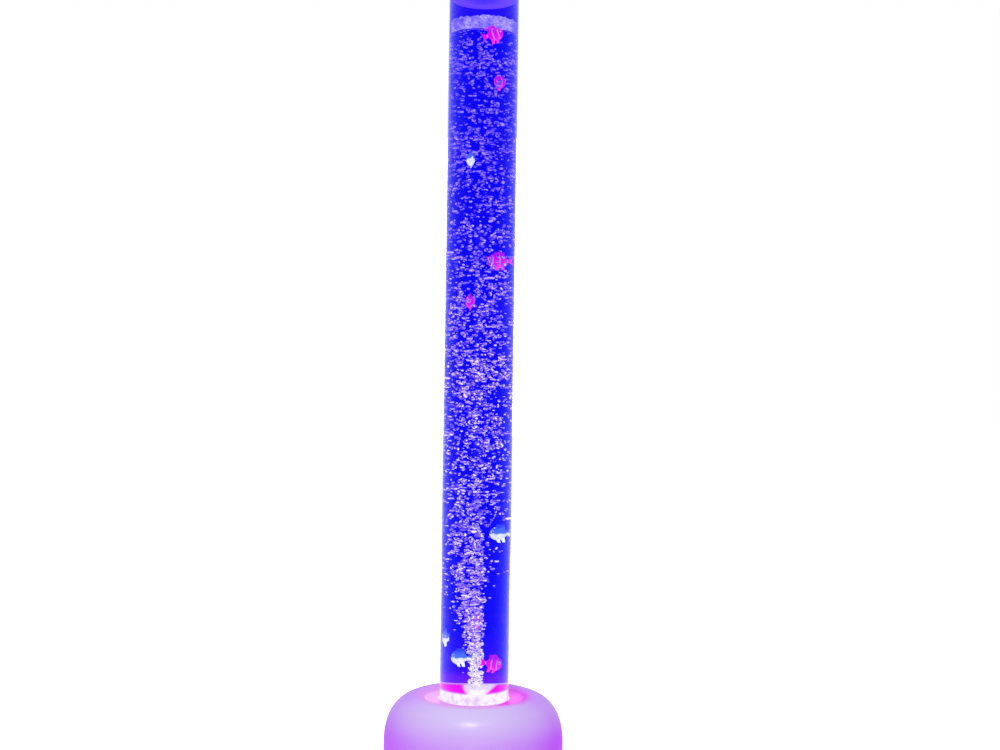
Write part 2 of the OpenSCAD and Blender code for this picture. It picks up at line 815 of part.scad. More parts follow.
// A push button: head, collar behind the panel and stem into its switch
module push_button(x, shade) {
    tip_y = board_y + fit_gap + button_travel + slide_gap;
    collar_t = button_collar;
    color(shade)
    translate([x, 0, button_z]) {
        translate([0, tip_y, 0]) to_back() cylinder(r = tip_r, h = panel_y - panel_t - tip_y);
        translate([0, panel_y - panel_t - slide_gap - collar_t, 0])
            to_back() cylinder(r = button_d / 2 + button_collar, h = collar_t);
        translate([0, panel_y - panel_t - slide_gap - collar_t, 0])
            to_back() cylinder(d = button_d, h = slide_gap + collar_t + panel_t + button_proud);
    }
}
module power_button() { push_button(-button_pitch, "tomato"); }
module mode_button() { push_button(0, "gainsboro"); }

module power_inlet() {
    color("black")
    translate([button_pitch, 0, button_z])
        difference() {
            union() {
                translate([0, board_y, 0]) to_back()
                    cylinder(d = inlet_d, h = panel_y + inlet_proud - board_y);
                translate([-inlet_d / 2, board_y, -inlet_d / 2])
                    cube([inlet_d, board_gap - fit_gap, inlet_d]);
            }
            translate([0, panel_y + inlet_proud - inlet_bore_len, 0])
                to_back() cylinder(d = inlet_bore_d, h = inlet_bore_len + 1);
        }
}

// ---- Remote receiver ----

module receiver_window() {
    // the lens ends just inside the round wall
    lens_y = -base_r * cos(asin(window_d / 2 / base_r)) + fit_gap;
    color("darkred")
    translate([0, 0, window_z]) {
        translate([0, lens_y, 0]) to_back() cylinder(d = window_d, h = window_in_y - lens_y + eps);
        translate([0, window_in_y, 0])
            to_back() cylinder(r = window_boss_r - 1, h = window_flange_t);
    }
}

module receiver() {
    y = window_in_y + window_flange_t;
    color("black")
    translate([0, y, window_z]) {
        translate([-receiver_w / 2, 0, -receiver_w / 2])
            cube([receiver_w, receiver_t + eps, receiver_w]);
        translate([-window_boss_r, receiver_t, -window_boss_r])
            cube([2 * window_boss_r, board_t, 2 * window_boss_r]);
    }
}

// ---- Drain ----

module drain_pipe() {
    top = tank_z - floor_t + drain_socket;
    color("white")
    difference() {
        union() {
            translate([0, drain_y, drain_z]) {
                cylinder(r = drain_r, h = top - drain_z);
                sphere(r = drain_r);
                to_back() cylinder(r = drain_r, h = panel_y - drain_y);
            }
        }
        translate([0, drain_y, drain_z]) {
            cylinder(d = drain_bore_d, h = top);
            sphere(d = drain_bore_d);
            to_back() cylinder(d = drain_bore_d, h = panel_y);
        }
    }
}

module drain_plug() {
    color("dimgray")
    translate([0, panel_y, drain_z]) {
        translate([0, -plug_len, 0]) to_back()
            cylinder(r = drain_bore_d / 2 - slide_gap, h = plug_len + 1);
        translate([0, slide_gap, 0]) to_back() cylinder(d = plug_head_d, h = plug_head_t);
    }
}

// ---- Cap ----

groove_z = cap_plug_z + cap_plug_len / 2;
module cap_plug() {
    color([0.62, 0.45, 1.0])
    difference() {
        translate([0, 0, cap_plug_z]) cylinder(r = cap_plug_r, h = overall_h - cap_h - cap_plug_z);
        translate([0, 0, cap_plug_z + cap_plug_wall])
            cylinder(r = cap_plug_r - cap_plug_wall, h = cap_plug_len);
        ring(groove_z - fit_gap, seal_h + 2 * fit_gap, cap_plug_r + 1, cap_plug_r - seal_groove);
        translate([0, 0, cap_plug_z - 1]) cylinder(d = cap_vent_d, h = cap_plug_wall + 2);
    }
}

module cap_seal() {
    color("dimgray")
    ring(groove_z, seal_h, tank_r - slide_gap, cap_plug_r - seal_groove);
}

// Outline of the cap's top: a disc with a rounded edge and a skirt over the tube
module cap_profile() {
    skirt_z = overall_h - cap_h - skirt_h;
    polygon(concat(
        [[cap_vent_d / 2, overall_h - cap_h], [tube_r + slide_gap, overall_h - cap_h],
         [tube_r + slide_gap, skirt_z], [cap_r, skirt_z]],
        [for (i = [0 : 8]) let (t = 90 * i / 8)
            [cap_r - cap_edge_r * (1 - cos(t)), overall_h - cap_edge_r * (1 - sin(t))]],
        [[cap_vent_d / 2, overall_h]]));
}
module cap_top() {
    color([0.80, 0.76, 0.95])
    rotate_extrude() cap_profile();
}

// ---- Fish ----

// Side view of a fish heading +X, centred half way along its length: the body, then the fins
module fish_outline() {
    body_len = fish_len * 0.76;
    body_r = (body_len * body_len / 4 + fish_h * fish_h / 4) / fish_h;
    nose = fish_len / 2;
    intersection() {
        translate([nose - body_len / 2, body_r - fish_h / 2]) circle(r = body_r);
        translate([nose - body_len / 2, fish_h / 2 - body_r]) circle(r = body_r);
    }
}
module fin_outline() {
    body_len = fish_len * 0.76;
    mid = fish_len / 2 - body_len / 2;
    tail = -fish_len / 2;
    root = fish_len / 2 - body_len * 0.9;
    polygon([[tail, fish_h * 0.34], [root, fish_h * 0.1], [root, -fish_h * 0.1],
             [tail, -fish_h * 0.34], [tail + 3, 0]]);
    polygon([[mid - 6, fish_h * 0.3], [mid - 5, fish_h / 2 + fin_h * 0.8],
             [mid + 1, fish_h / 2 + fin_h], [mid + 5, fish_h * 0.35]]);
    polygon([[mid - 6, -fish_h * 0.3], [mid - 7, -fish_h / 2 - fin_h],
             [mid - 3, -fish_h / 2 - fin_h * 0.5], [mid - 1, -fish_h * 0.4]]);
    polygon([[mid + 1, -fish_h * 0.4], [mid, -fish_h / 2 - fin_h],
             [mid + 4, -fish_h / 2 - fin_h * 0.3], [mid + 6, -fish_h * 0.3]]);
}

module fish_shape() {
    body_len = fish_len * 0.76;
    plan_r = (body_len * body_len / 4 + fish_t * fish_t / 4) / fish_t;
    mid = fish_len / 2 - body_len / 2;
    rotate([90, 0, 0]) translate([0, 0, -fin_t / 2]) linear_extrude(fin_t) fin_outline();
    intersection() {
        rotate([90, 0, 0]) translate([0, 0, -fish_t]) linear_extrude(2 * fish_t) fish_outline();
        for_plan(mid, plan_r);
    }
}
// The body's plan: two round sides that meet at the nose and at the tail's root
module for_plan(mid, plan_r) {
    intersection() {
        translate([mid, plan_r - fish_t / 2, -fish_h]) cylinder(r = plan_r, h = 2 * fish_h);
        translate([mid, -plan_r + fish_t / 2, -fish_h]) cylinder(r = plan_r, h = 2 * fish_h);
    }
}

// Fish number i at its place in the tank
module fish(i) {
    f = FISH[i];
    color(f[5])
    translate([f[0] * tank_r, f[1] * tank_r, tank_z + f[4] * water_depth])
        rotate([0, 0, f[2]]) rotate([0, -f[3], 0]) fish_shape();
}

base_shell();
base_plate();
feet();
shell_screws();
tube_stand();
stand_screws();
sealant_bead();
tube();
tank_floor();
nozzle();
nozzle_washer();
nozzle_nut();
upper_hose();
valve_top();
valve_body();
valve_disc();
lower_hose();
pump_cover();
diaphragm();
pump_head();
motor_can();
motor_magnets();
motor_rotor();
pump_sleeve();
pump_cradle();
cradle_screws();
ring_board();
leds();
ring_lead();
pump_lead();
receiver_lead();
rear_panel();
control_board();
board_screws();
switches();
power_button();
mode_button();
power_inlet();
receiver_window();
receiver();
drain_pipe();
drain_plug();
cap_plug();
cap_seal();
cap_top();
for (i = [0 : len(FISH) - 1])
    fish(i);
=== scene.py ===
# %% [markdown]
# # A bubble tube floor lamp
# The lamp is a clear tube of water on a round glowing base. An air pump in the base blows
# bubbles up through the water, and plastic fish drift among them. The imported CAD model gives
# every solid part at its true place. This script gives those parts their finish, and adds
# what only the eye sees: the water, the bubbles, the froth and the paint on the fish.

import json
import math

import bmesh
import bpy
import numpy as np
from mathutils import Matrix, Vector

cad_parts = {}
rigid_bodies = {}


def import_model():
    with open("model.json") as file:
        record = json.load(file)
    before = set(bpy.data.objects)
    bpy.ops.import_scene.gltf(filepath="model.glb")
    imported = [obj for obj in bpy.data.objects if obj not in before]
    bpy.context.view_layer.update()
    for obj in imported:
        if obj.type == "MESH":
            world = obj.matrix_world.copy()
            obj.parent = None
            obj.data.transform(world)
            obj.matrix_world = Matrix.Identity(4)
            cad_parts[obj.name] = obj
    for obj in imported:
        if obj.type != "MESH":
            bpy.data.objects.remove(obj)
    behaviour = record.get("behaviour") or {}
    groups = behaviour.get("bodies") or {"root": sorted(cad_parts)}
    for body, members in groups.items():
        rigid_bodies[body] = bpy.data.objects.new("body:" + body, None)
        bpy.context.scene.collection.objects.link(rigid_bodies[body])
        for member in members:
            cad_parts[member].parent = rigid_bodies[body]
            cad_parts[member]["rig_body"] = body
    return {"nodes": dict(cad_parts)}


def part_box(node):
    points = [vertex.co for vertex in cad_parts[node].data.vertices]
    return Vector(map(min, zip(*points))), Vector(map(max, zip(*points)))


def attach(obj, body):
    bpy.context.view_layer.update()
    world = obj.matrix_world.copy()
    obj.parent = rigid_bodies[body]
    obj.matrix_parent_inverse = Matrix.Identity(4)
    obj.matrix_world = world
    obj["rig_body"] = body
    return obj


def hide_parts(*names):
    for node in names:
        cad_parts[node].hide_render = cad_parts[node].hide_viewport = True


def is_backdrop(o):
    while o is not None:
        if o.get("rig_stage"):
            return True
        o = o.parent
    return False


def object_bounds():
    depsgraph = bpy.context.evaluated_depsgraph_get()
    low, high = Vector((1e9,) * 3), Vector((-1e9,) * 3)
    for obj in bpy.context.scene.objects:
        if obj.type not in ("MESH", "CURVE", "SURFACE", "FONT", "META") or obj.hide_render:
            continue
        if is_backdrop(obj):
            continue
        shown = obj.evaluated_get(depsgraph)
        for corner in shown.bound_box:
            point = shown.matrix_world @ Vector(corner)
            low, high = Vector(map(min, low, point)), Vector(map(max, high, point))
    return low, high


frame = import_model()
cad_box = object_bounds()

# %% [markdown]
# ## Sizes that the new pieces share
# All lengths are in metres. They are read off the CAD parts where a part has them, so that
# the water always fills the tube that is really there.

# %% Read the driving sizes off the frame
MM = 0.001
TUBE_WALL = 3 * MM
WATER_GAP = 52 * MM            # from the water's surface up to the cap's underside

tube_low, tube_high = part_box("tube")
TUBE_R = tube_high.x
TANK_R = TUBE_R - TUBE_WALL
TANK_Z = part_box("tank_floor")[1].z
CAP_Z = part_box("cap_plug")[0].z
WATER_Z = CAP_Z - WATER_GAP
WATER_DEPTH = WATER_Z - TANK_Z
BASE_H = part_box("base_shell")[1].z
RING_R = 79 * MM               # the ring round the dish, where the shoulder starts
NOZZLE_X = 4 * MM              # the bubble outlet stands a little right of the axis
print(f"tube radius {TUBE_R:.4f}, water from {TANK_Z:.4f} to {WATER_Z:.4f}")

# %% [markdown]
# ## The camera
# The lamp was seen from two metres away, from a little below the middle of the tube, with a
# slight roll. A camera looks along its own -Z, so a quarter turn about X makes it look
# along +Y, and the small pitch and roll are added to that.

# %% Place the camera
def show(name, data):
    """A new object in the scene that holds the data."""
    thing = bpy.data.objects.new(name, data)
    bpy.context.scene.collection.objects.link(thing)
    return thing


FOCAL_PX = 1387.9              # focal length in pixels of the frame
FRAME_PX = 1000                # width of the frame in pixels
CAMERA_AT = (0.0307, -2.0, 0.6378)
CAMERA_PITCH = 0.0035
CAMERA_ROLL = 0.0150

lens = bpy.data.cameras.new("camera")
lens.lens = FOCAL_PX * lens.sensor_width / FRAME_PX
camera = show("camera", lens)
camera.matrix_world = (Matrix.Translation(CAMERA_AT)
                       @ Matrix.Rotation(math.pi / 2 - CAMERA_PITCH, 4, "X")
                       @ Matrix.Rotation(CAMERA_ROLL, 4, "Z"))
bpy.context.scene.camera = camera
print(f"lens {lens.lens:.2f} mm")

# %% [markdown]
# ## Helpers that build node trees
# A material is a small graph. Writing it node by node is long, so one helper gives a node's
# sockets their values and links, and the others make the nodes that come up most.

# %% Helpers for shader nodes
def wire(tree, node, **inputs):
    """Feeds a node and returns it. A keyword names a socket, with _ for a space, and in_0,
    in_1 and so on name sockets by place. A value is a number, a colour or another socket."""
    for key, value in inputs.items():
        socket = node.inputs[int(key[3:]) if key.startswith("in_") else key.replace("_", " ")]
        if isinstance(value, bpy.types.NodeSocket):
            tree.links.new(value, socket)
        elif socket.type == "RGBA":
            socket.default_value = (*value, 1)
        else:
            socket.default_value = value
    return node


def add(tree, kind, settings=None, **inputs):
    """Adds a shader node with its settings, and feeds it."""
    node = tree.nodes.new("ShaderNode" + kind)
    for key, value in (settings or {}).items():
        setattr(node, key, value)
    return wire(tree, node, **inputs)


def calc(tree, operation, *values):
    """The result of a math node on one, two or three values."""
    inputs = {f"in_{i}": v for i, v in enumerate(values)}
    return add(tree, "Math", {"operation": operation}, **inputs).outputs[0]


def span(tree, value, low, high, kind="SMOOTHSTEP"):
    """0 below low, 1 above high, and a rise between them; low may be the larger."""
    settings = {"interpolation_type": kind}
    return add(tree, "MapRange", settings, in_0=value, in_1=float(low), in_2=float(high)).outputs[0]


def mixed(tree, share, a, b):
    """Colour a where share is 0 and colour b where it is 1."""
    return add(tree, "Mix", {"data_type": "RGBA"}, in_0=share, in_6=a, in_7=b).outputs[2]


def scaled(tree, color, factor):
    """A colour made darker or lighter by a factor."""
    return add(tree, "VectorMath", {"operation": "SCALE"}, in_0=color, Scale=factor).outputs[0]


def noise(tree, place, scale, detail=2.0):
    """Soft random spots; a larger scale makes them smaller."""
    return add(tree, "TexNoise", Vector=place, Scale=scale, Detail=detail).outputs[0]


def srgb(red, green, blue):
    """A colour written as 0 to 255, as a screen shows it, turned to the light it stands for."""
    screen = np.array([red, green, blue]) / 255
    light = np.where(screen <= 0.04045, screen / 12.92, ((screen + 0.055) / 1.055) ** 2.4)
    return tuple(float(c) for c in light)


FINISH = {}                    # every finish that is made here, under its name


def new_material(name):
    """The tree and the Principled shader of a new material, which FINISH keeps."""
    FINISH[name] = bpy.data.materials.new(name)
    FINISH[name].use_nodes = True
    tree = FINISH[name].node_tree
    return tree, tree.nodes["Principled BSDF"]


def place_xyz(tree):
    """The point's own place on the lamp: x, y and z in metres."""
    place = add(tree, "TexCoord").outputs["Object"]
    parts = add(tree, "SeparateXYZ", in_0=place)
    return place, parts.outputs[0], parts.outputs[1], parts.outputs[2]


def from_axis(tree, x, y):
    """The distance from the lamp's axis: the root of x * x + y * y."""
    squares = calc(tree, "ADD", calc(tree, "MULTIPLY", x, x), calc(tree, "MULTIPLY", y, y))
    return calc(tree, "SQRT", squares)


print("node helpers ready")

# %% [markdown]
# ## Effects that several finishes share
# Moulded plastic is never one flat colour: it has a fine spark-eroded grain, and its gloss
# changes from place to place. Drawn metal has streaks along one way. Each effect is a node
# group with named sockets, built once and placed in every material that needs it, with its
# own values. A group puts out colours, roughness and height, and no shader.

# %% Start a node group
def new_group(name, inputs, outputs):
    """A shader node group; inputs are (name, default) pairs and outputs (name, type) pairs."""
    group = bpy.data.node_groups.new(name, "ShaderNodeTree")
    for title, value in inputs:
        kind = "NodeSocketColor" if isinstance(value, tuple) else "NodeSocketFloat"
        socket = group.interface.new_socket(title, in_out="INPUT", socket_type=kind)
        socket.default_value = (*value, 1) if isinstance(value, tuple) else value
    for title, kind in outputs:
        group.interface.new_socket(title, in_out="OUTPUT", socket_type="NodeSocket" + kind)
    return group, group.nodes.new("NodeGroupInput"), group.nodes.new("NodeGroupOutput")


def surface(tree, shader, group, bump, depth, **inputs):
    """Places a group, and gives its colour, gloss and height to the shader."""
    effect = wire(tree, add(tree, "Group", {"node_tree": group}), **inputs)
    wire(tree, shader, Base_Color=effect.outputs["Color"], Roughness=effect.outputs["Roughness"])
    if bump:
        relief = add(tree, "Bump", Strength=bump, Distance=depth, Height=effect.outputs["Height"])
        wire(tree, shader, Normal=relief.outputs[0])


print("group helpers ready")

# %% Grain of moulded plastic and rubber
GRAIN, source, sink = new_group(
    "moulded grain",
    [("Color", (0.8, 0.8, 0.8)), ("Grain Size", 0.4 * MM), ("Contrast", 0.1),
     ("Roughness", 0.5), ("Roughness Spread", 0.1)],
    [("Color", "Color"), ("Roughness", "Float"), ("Height", "Float")])
place = add(GRAIN, "TexCoord").outputs["Object"]
fine_scale = calc(GRAIN, "DIVIDE", 1.0, source.outputs["Grain Size"])
fine = noise(GRAIN, place, fine_scale)
broad = noise(GRAIN, place, 38.0, 3.0)
uneven = calc(GRAIN, "MULTIPLY_ADD", calc(GRAIN, "SUBTRACT", broad, 0.5),
              source.outputs["Contrast"], 1.0)
uneven = calc(GRAIN, "MULTIPLY_ADD", calc(GRAIN, "SUBTRACT", fine, 0.5),
              calc(GRAIN, "MULTIPLY", source.outputs["Contrast"], 0.5), uneven)
shade = scaled(GRAIN, source.outputs["Color"], uneven)
gloss = calc(GRAIN, "MULTIPLY_ADD", calc(GRAIN, "SUBTRACT", broad, 0.5),
             source.outputs["Roughness Spread"], source.outputs["Roughness"])
wire(GRAIN, sink, Color=shade, Roughness=gloss, Height=fine)
print(GRAIN.name, "has", len(GRAIN.nodes), "nodes")

# %% Streaks of drawn and turned metal
STREAKS, source, sink = new_group(
    "metal streaks",
    [("Color", (0.6, 0.6, 0.6)), ("Roughness", 0.3)],
    [("Color", "Color"), ("Roughness", "Float"), ("Height", "Float")])
place = add(STREAKS, "TexCoord").outputs["Object"]
drawn = add(STREAKS, "Mapping", in_0=place, Scale=(900.0, 900.0, 60.0)).outputs[0]
lines = noise(STREAKS, drawn, 1.0, 3.0)
shade = scaled(STREAKS, source.outputs["Color"], calc(STREAKS, "MULTIPLY_ADD", lines, 0.35, 0.82))
gloss = calc(STREAKS, "MULTIPLY_ADD", lines, 0.25, calc(
    STREAKS, "SUBTRACT", source.outputs["Roughness"], 0.12))
wire(STREAKS, sink, Color=shade, Roughness=gloss, Height=lines)
print("groups:", [group.name for group in bpy.data.node_groups])

# %% [markdown]
# ## Finishes of the parts inside and behind the base
# The CAD names a material slot for every part. Each slot gets one procedural finish here:
# plastics and rubber through the grain group, metals through the streaks.

# %% Finishes made from the shared groups
def moulded(name, color, roughness=0.5, grain=0.4 * MM, contrast=0.1, bump=0.05, **extra):
    """Plastic or rubber: colour and gloss from the grain group, with a fine bump."""
    tree, shader = new_material(name)
    surface(tree, shader, GRAIN, bump, 0.1 * MM, Color=color, Grain_Size=grain,
            Contrast=contrast, Roughness=roughness, Roughness_Spread=0.2)
    wire(tree, shader, **extra)


def metal(name, color, roughness=0.3):
    """Bare metal with streaks of the tool that drew or turned it."""
    tree, shader = new_material(name)
    surface(tree, shader, STREAKS, 0.08, 0.05 * MM, Color=color, Roughness=roughness)
    wire(tree, shader, Metallic=1.0)


moulded("plate_plastic", (0.42, 0.42, 0.45), 0.55)
moulded("rubber", (0.016, 0.016, 0.018), 0.85, 0.6 * MM, 0.5, 0.2)
moulded("white_plastic", (0.78, 0.78, 0.8), 0.4)
moulded("black_plastic", (0.012, 0.012, 0.014), 0.42, 0.35 * MM, 0.4, 0.12)
moulded("panel_plastic", (0.05, 0.05, 0.062), 0.55, 0.5 * MM, 0.5, 0.25)
moulded("button_red", (0.5, 0.012, 0.008), 0.25, Coat_Weight=0.4)
moulded("button_white", (0.7, 0.7, 0.72), 0.25, Coat_Weight=0.4)
moulded("window_red", (0.05, 0.002, 0.004), 0.08, Coat_Weight=0.8)
moulded("lead_red", (0.45, 0.004, 0.004), 0.4)
moulded("lead_gray", (0.13, 0.13, 0.14), 0.4)
moulded("clear_hose", (0.8, 0.84, 0.88), 0.2, Transmission_Weight=0.6)
metal("screw_steel", (0.55, 0.56, 0.58), 0.32)
metal("brass", (0.72, 0.52, 0.2), 0.3)
metal("magnet_iron", (0.06, 0.06, 0.068), 0.6)
print("finishes:", sorted(FINISH))

# %% [markdown]
# The circuit boards are green lacquer over copper tracks. The tracks are the mortar lines of
# a brick pattern, a little lighter than the lacquer between them. The light-emitting diodes
# are lit, so their finish glows, with soft spots of two tints in the phosphor.

# %% Board lacquer and lit diodes
tree, shader = new_material("board_green")
place, x, y, z = place_xyz(tree)
upright = add(tree, "CombineXYZ", in_0=x, in_1=z, in_2=y).outputs[0]
tracks = add(tree, "TexBrick", Vector=upright, Scale=1.0, Color1=(0.008, 0.09, 0.03),
             Color2=(0.01, 0.12, 0.035), Mortar=(0.05, 0.24, 0.08), Mortar_Size=0.35 * MM,
             Brick_Width=9 * MM, Row_Height=3 * MM)
relief = add(tree, "Bump", Strength=0.3, Distance=0.05 * MM, Height=tracks.outputs["Fac"])
wire(tree, shader, Base_Color=tracks.outputs["Color"], Normal=relief.outputs[0], Roughness=0.3)

tree, shader = new_material("led_yellow")
place, x, y, z = place_xyz(tree)
phosphor = noise(tree, place, 700.0, 1.0)
glow = mixed(tree, span(tree, phosphor, 0.35, 0.65), (1.0, 0.35, 0.9), (1.0, 0.8, 1.0))
wire(tree, shader, Base_Color=glow, Emission_Color=glow, Emission_Strength=1.0)
print("finishes now:", len(FINISH))

# %% [markdown]
# ## The base shell
# The real shell is moulded in milky plastic and lit from inside, so it glows. Its glow and its
# milky colour also hold painted light: they are palest at the top and front, where the studio
# light falls, and turn a deeper violet low down and towards the sides and back, which is
# painted shade. A pink light that spills out of the joint with the tube is painted into the
# dish as a pool of light. All of that follows the place on the lamp, so it is worked out from
# Object coordinates: the height, the distance from the axis, and how far round from the front
# a point lies.

# %% Milky shell, lit from inside, with painted studio light and shade
tree, shader = new_material("shell_plastic")
place, x, y, z = place_xyz(tree)
radius = from_axis(tree, x, y)
frontness = calc(tree, "DIVIDE", calc(tree, "MULTIPLY_ADD", x, -0.08,
                                      calc(tree, "MULTIPLY", y, -1.0)), radius)
# painted shade: the colour turns from the pale, lit front to violet towards the sides and back
painted_side_shade = span(tree, frontness, 1.0, 0.30, "LINEAR")
low = span(tree, z, BASE_H - 5 * MM, BASE_H - 58 * MM)
# TOP_FRONT is the glow with painted studio light from the front and above; LOW_SIDE is the glow in
# painted shade
TOP_FRONT, TOP_SIDE = srgb(179, 162, 199), srgb(164, 124, 203)
LOW_FRONT, LOW_SIDE = srgb(172, 101, 209), srgb(162, 29, 222)
glow = mixed(tree, low, mixed(tree, painted_side_shade, TOP_FRONT, TOP_SIDE),
             mixed(tree, painted_side_shade, LOW_FRONT, LOW_SIDE))
# painted pool of light: the pink light from the joint with the tube, more magenta on the right
spill_radius = calc(tree, "MULTIPLY_ADD", frontness, -5 * MM, radius)
spill = span(tree, spill_radius, RING_R + 11 * MM, TUBE_R + 17 * MM)
right = span(tree, calc(tree, "DIVIDE", x, radius), 0.45, 0.85)
SPILL, SPILL_RIGHT = srgb(206, 146, 206), srgb(214, 34, 208)
glow = mixed(tree, spill, glow, mixed(tree, right, SPILL, SPILL_RIGHT))
cloudy = noise(tree, place, 22.0)
glow = scaled(tree, glow, calc(tree, "MULTIPLY_ADD", cloudy, 0.08, 0.96))

# the milky colour also holds painted shade: more violet towards the sides, most of all low down,
# and darker under the pink pool of light
milky_and_shaded = mixed(tree, calc(tree, "MULTIPLY", painted_side_shade, calc(tree, "MAXIMUM", low, 0.5)),
              srgb(129, 121, 160), srgb(124, 69, 160))
milky_and_shaded = mixed(tree, spill, milky_and_shaded, srgb(104, 50, 132))
surface(tree, shader, GRAIN, 0.02, 0.05 * MM, Color=milky_and_shaded, Grain_Size=0.5 * MM,
        Contrast=0.03, Roughness=0.38, Roughness_Spread=0.08)
coat = calc(tree, "MULTIPLY", span(tree, z, BASE_H - 2 * MM, BASE_H - 11 * MM), 0.26)
wire(tree, shader, Emission_Color=glow, Emission_Strength=1.0, Coat_Weight=coat,
     Coat_Roughness=0.28, Specular_IOR_Level=0.0)
print("shell finish has", len(tree.nodes), "nodes")

# %% [markdown]
# The cap's plug is the violet ceiling over the water. Its glow is painted light: the light of
# the whole tube falling on it from below, a little weaker in the middle where the vent is. The
# cap's top is the same plastic, seen from outside, so its painted light is weaker and fades
# upwards.

# %% Cap plastic
tree, shader = new_material("cap_plastic")
place, x, y, z = place_xyz(tree)
radius = from_axis(tree, x, y)
# painted light: the tube's light on the plug, dimmer in the middle, and weaker and fading on the
# cap's top
ceiling = mixed(tree, span(tree, radius, 6 * MM, 34 * MM), srgb(58, 30, 250), srgb(98, 58, 252))
rising = span(tree, z, CAP_Z + 3 * MM, CAP_Z + 30 * MM)
glow = mixed(tree, rising, ceiling, srgb(92, 50, 190))
wire(tree, shader, Emission_Color=glow, Emission_Strength=1.0)
surface(tree, shader, GRAIN, 0, 0, Color=srgb(120, 112, 190), Grain_Size=0.5 * MM,
        Contrast=0.04, Roughness=0.35, Roughness_Spread=0.1)
print("cap finish has", len(tree.nodes), "nodes")

# %% [markdown]
# ## The tank floor
# The clear disc that closes the tube is flooded with light from the diodes under it. Its
# edge glows white with smudges, and its top shows a pink ring round the white outlet. The
# ring and the edge are told apart by height: the top lies at the disc's own top.

# %% Glowing tank floor and sealant
tree, shader = new_material("tank_floor_glow")
place, x, y, z = place_xyz(tree)
across = calc(tree, "DIVIDE", calc(tree, "SUBTRACT", x, NOZZLE_X), 14 * MM)
along = calc(tree, "DIVIDE", y, 70 * MM)
glare = calc(tree, "ADD", calc(tree, "MULTIPLY", across, across),
             calc(tree, "MULTIPLY", along, along))
radius = from_axis(tree, x, y)
smudge = noise(tree, place, 85.0)
edge_color = mixed(tree, span(tree, smudge, 0.40, 0.72), srgb(250, 243, 255), srgb(214, 184, 250))
ring_color = mixed(tree, span(tree, radius, 36 * MM, 43 * MM), srgb(255, 0, 215),
                   srgb(214, 150, 255))
ring_color = mixed(tree, span(tree, glare, 1.5, 0.7), ring_color, srgb(250, 236, 255))
on_top = calc(tree, "GREATER_THAN", z, TANK_Z - 0.2 * MM)
glow = mixed(tree, on_top, edge_color, ring_color)
wire(tree, shader, Emission_Color=glow, Emission_Strength=1.0, Base_Color=(0.04, 0.02, 0.04),
     Roughness=0.3)

tree, shader = new_material("clear_sealant")
place, x, y, z = place_xyz(tree)
glow = mixed(tree, noise(tree, place, 160.0), srgb(232, 140, 246), srgb(252, 182, 255))
wire(tree, shader, Emission_Color=glow, Emission_Strength=0.8, Base_Color=(0.1, 0.05, 0.1),
     Roughness=0.4, Specular_IOR_Level=0.1)

tree, shader = new_material("outlet_glow")
place, x, y, z = place_xyz(tree)
glow = mixed(tree, noise(tree, place, 260.0), srgb(225, 205, 255), srgb(255, 250, 255))
wire(tree, shader, Emission_Color=glow, Emission_Strength=1.0, Base_Color=(0.1, 0.1, 0.1))
print("glowing finishes ready")

# %% [markdown]
# ## Clear acrylic and water
# Clear things are mostly what lies behind them, bent by their index: 1.49 for acrylic, 1.33
# for water. The water body reaches 0.3 millimetres into the tube's wall, so that a
# ray passes from acrylic to water with no film of air between, and the tube works as one
# thick lens that shows the fish wider than they are. The water swallows some red and green.

# %% Clear materials
def clear(name, index, tint):
    """Polished clear matter that bends light by its index; tint colours its head-on gloss."""
    tree, shader = new_material(name)
    wire(tree, shader, Base_Color=(1, 1, 1), Roughness=0.0, IOR=index, Transmission_Weight=1.0,
         Specular_Tint=tint, Specular_IOR_Level=0.12)
    return tree


BLUE_TINT = (0.08, 0.06, 1.0)
clear("clear_acrylic", 1.49, BLUE_TINT)
tree = clear("tank_water", 1.33, BLUE_TINT)
absorb = add(tree, "VolumeAbsorption", Color=(0.0, 0.0, 1.0), Density=4.0)
wire(tree, tree.nodes["Material Output"], Volume=absorb.outputs[0])
print("clear finishes:", list(FINISH)[-2:])

# %% [markdown]
# Behind the bubbles the far wall of the tube is a deep, even blue, because the acrylic is
# flooded with blue light that only its inner side sends back. A thin skin inside the wall
# shows that. Its inner face glows, and seen from its back it lets everything through, so
# the near side never hides the water. Low down the glow turns violet.

# %% Blue glow of the far wall
tree, shader = new_material("far_wall_glow")
place, x, y, z = place_xyz(tree)
bloom = noise(tree, place, 9.0, 1.0)
blue = mixed(tree, span(tree, z, WATER_Z, TANK_Z), srgb(3, 0, 240), srgb(3, 0, 255))
blue = mixed(tree, calc(tree, "MULTIPLY", span(tree, bloom, 0.45, 0.75), 0.5), blue,
             srgb(14, 0, 214))
low = calc(tree, "MULTIPLY_ADD", span(tree, z, TANK_Z + 24 * MM, TANK_Z), 0.8, calc(
    tree, "MULTIPLY", span(tree, z, TANK_Z + 95 * MM, TANK_Z), 0.2))
blue = mixed(tree, low, blue, srgb(128, 28, 252))
blue = mixed(tree, calc(tree, "LESS_THAN", z, TANK_Z), blue, srgb(250, 214, 255))
top = span(tree, z, WATER_Z + 12 * MM, CAP_Z)
blue = mixed(tree, calc(tree, "MULTIPLY", top, 0.4), blue, srgb(44, 12, 240))
facing_away = add(tree, "NewGeometry").outputs["Backfacing"]
wire(tree, shader, Emission_Color=blue, Emission_Strength=1.0, Base_Color=(0, 0, 0),
     Specular_IOR_Level=0.0, Alpha=calc(tree, "SUBTRACT", 1.0, facing_away))
FINISH["far_wall_glow"].use_backface_culling = True
tree, shader = new_material("far_wall_back")
wire(tree, shader, Alpha=0.0)
print("far wall finishes:", list(FINISH)[-2:])

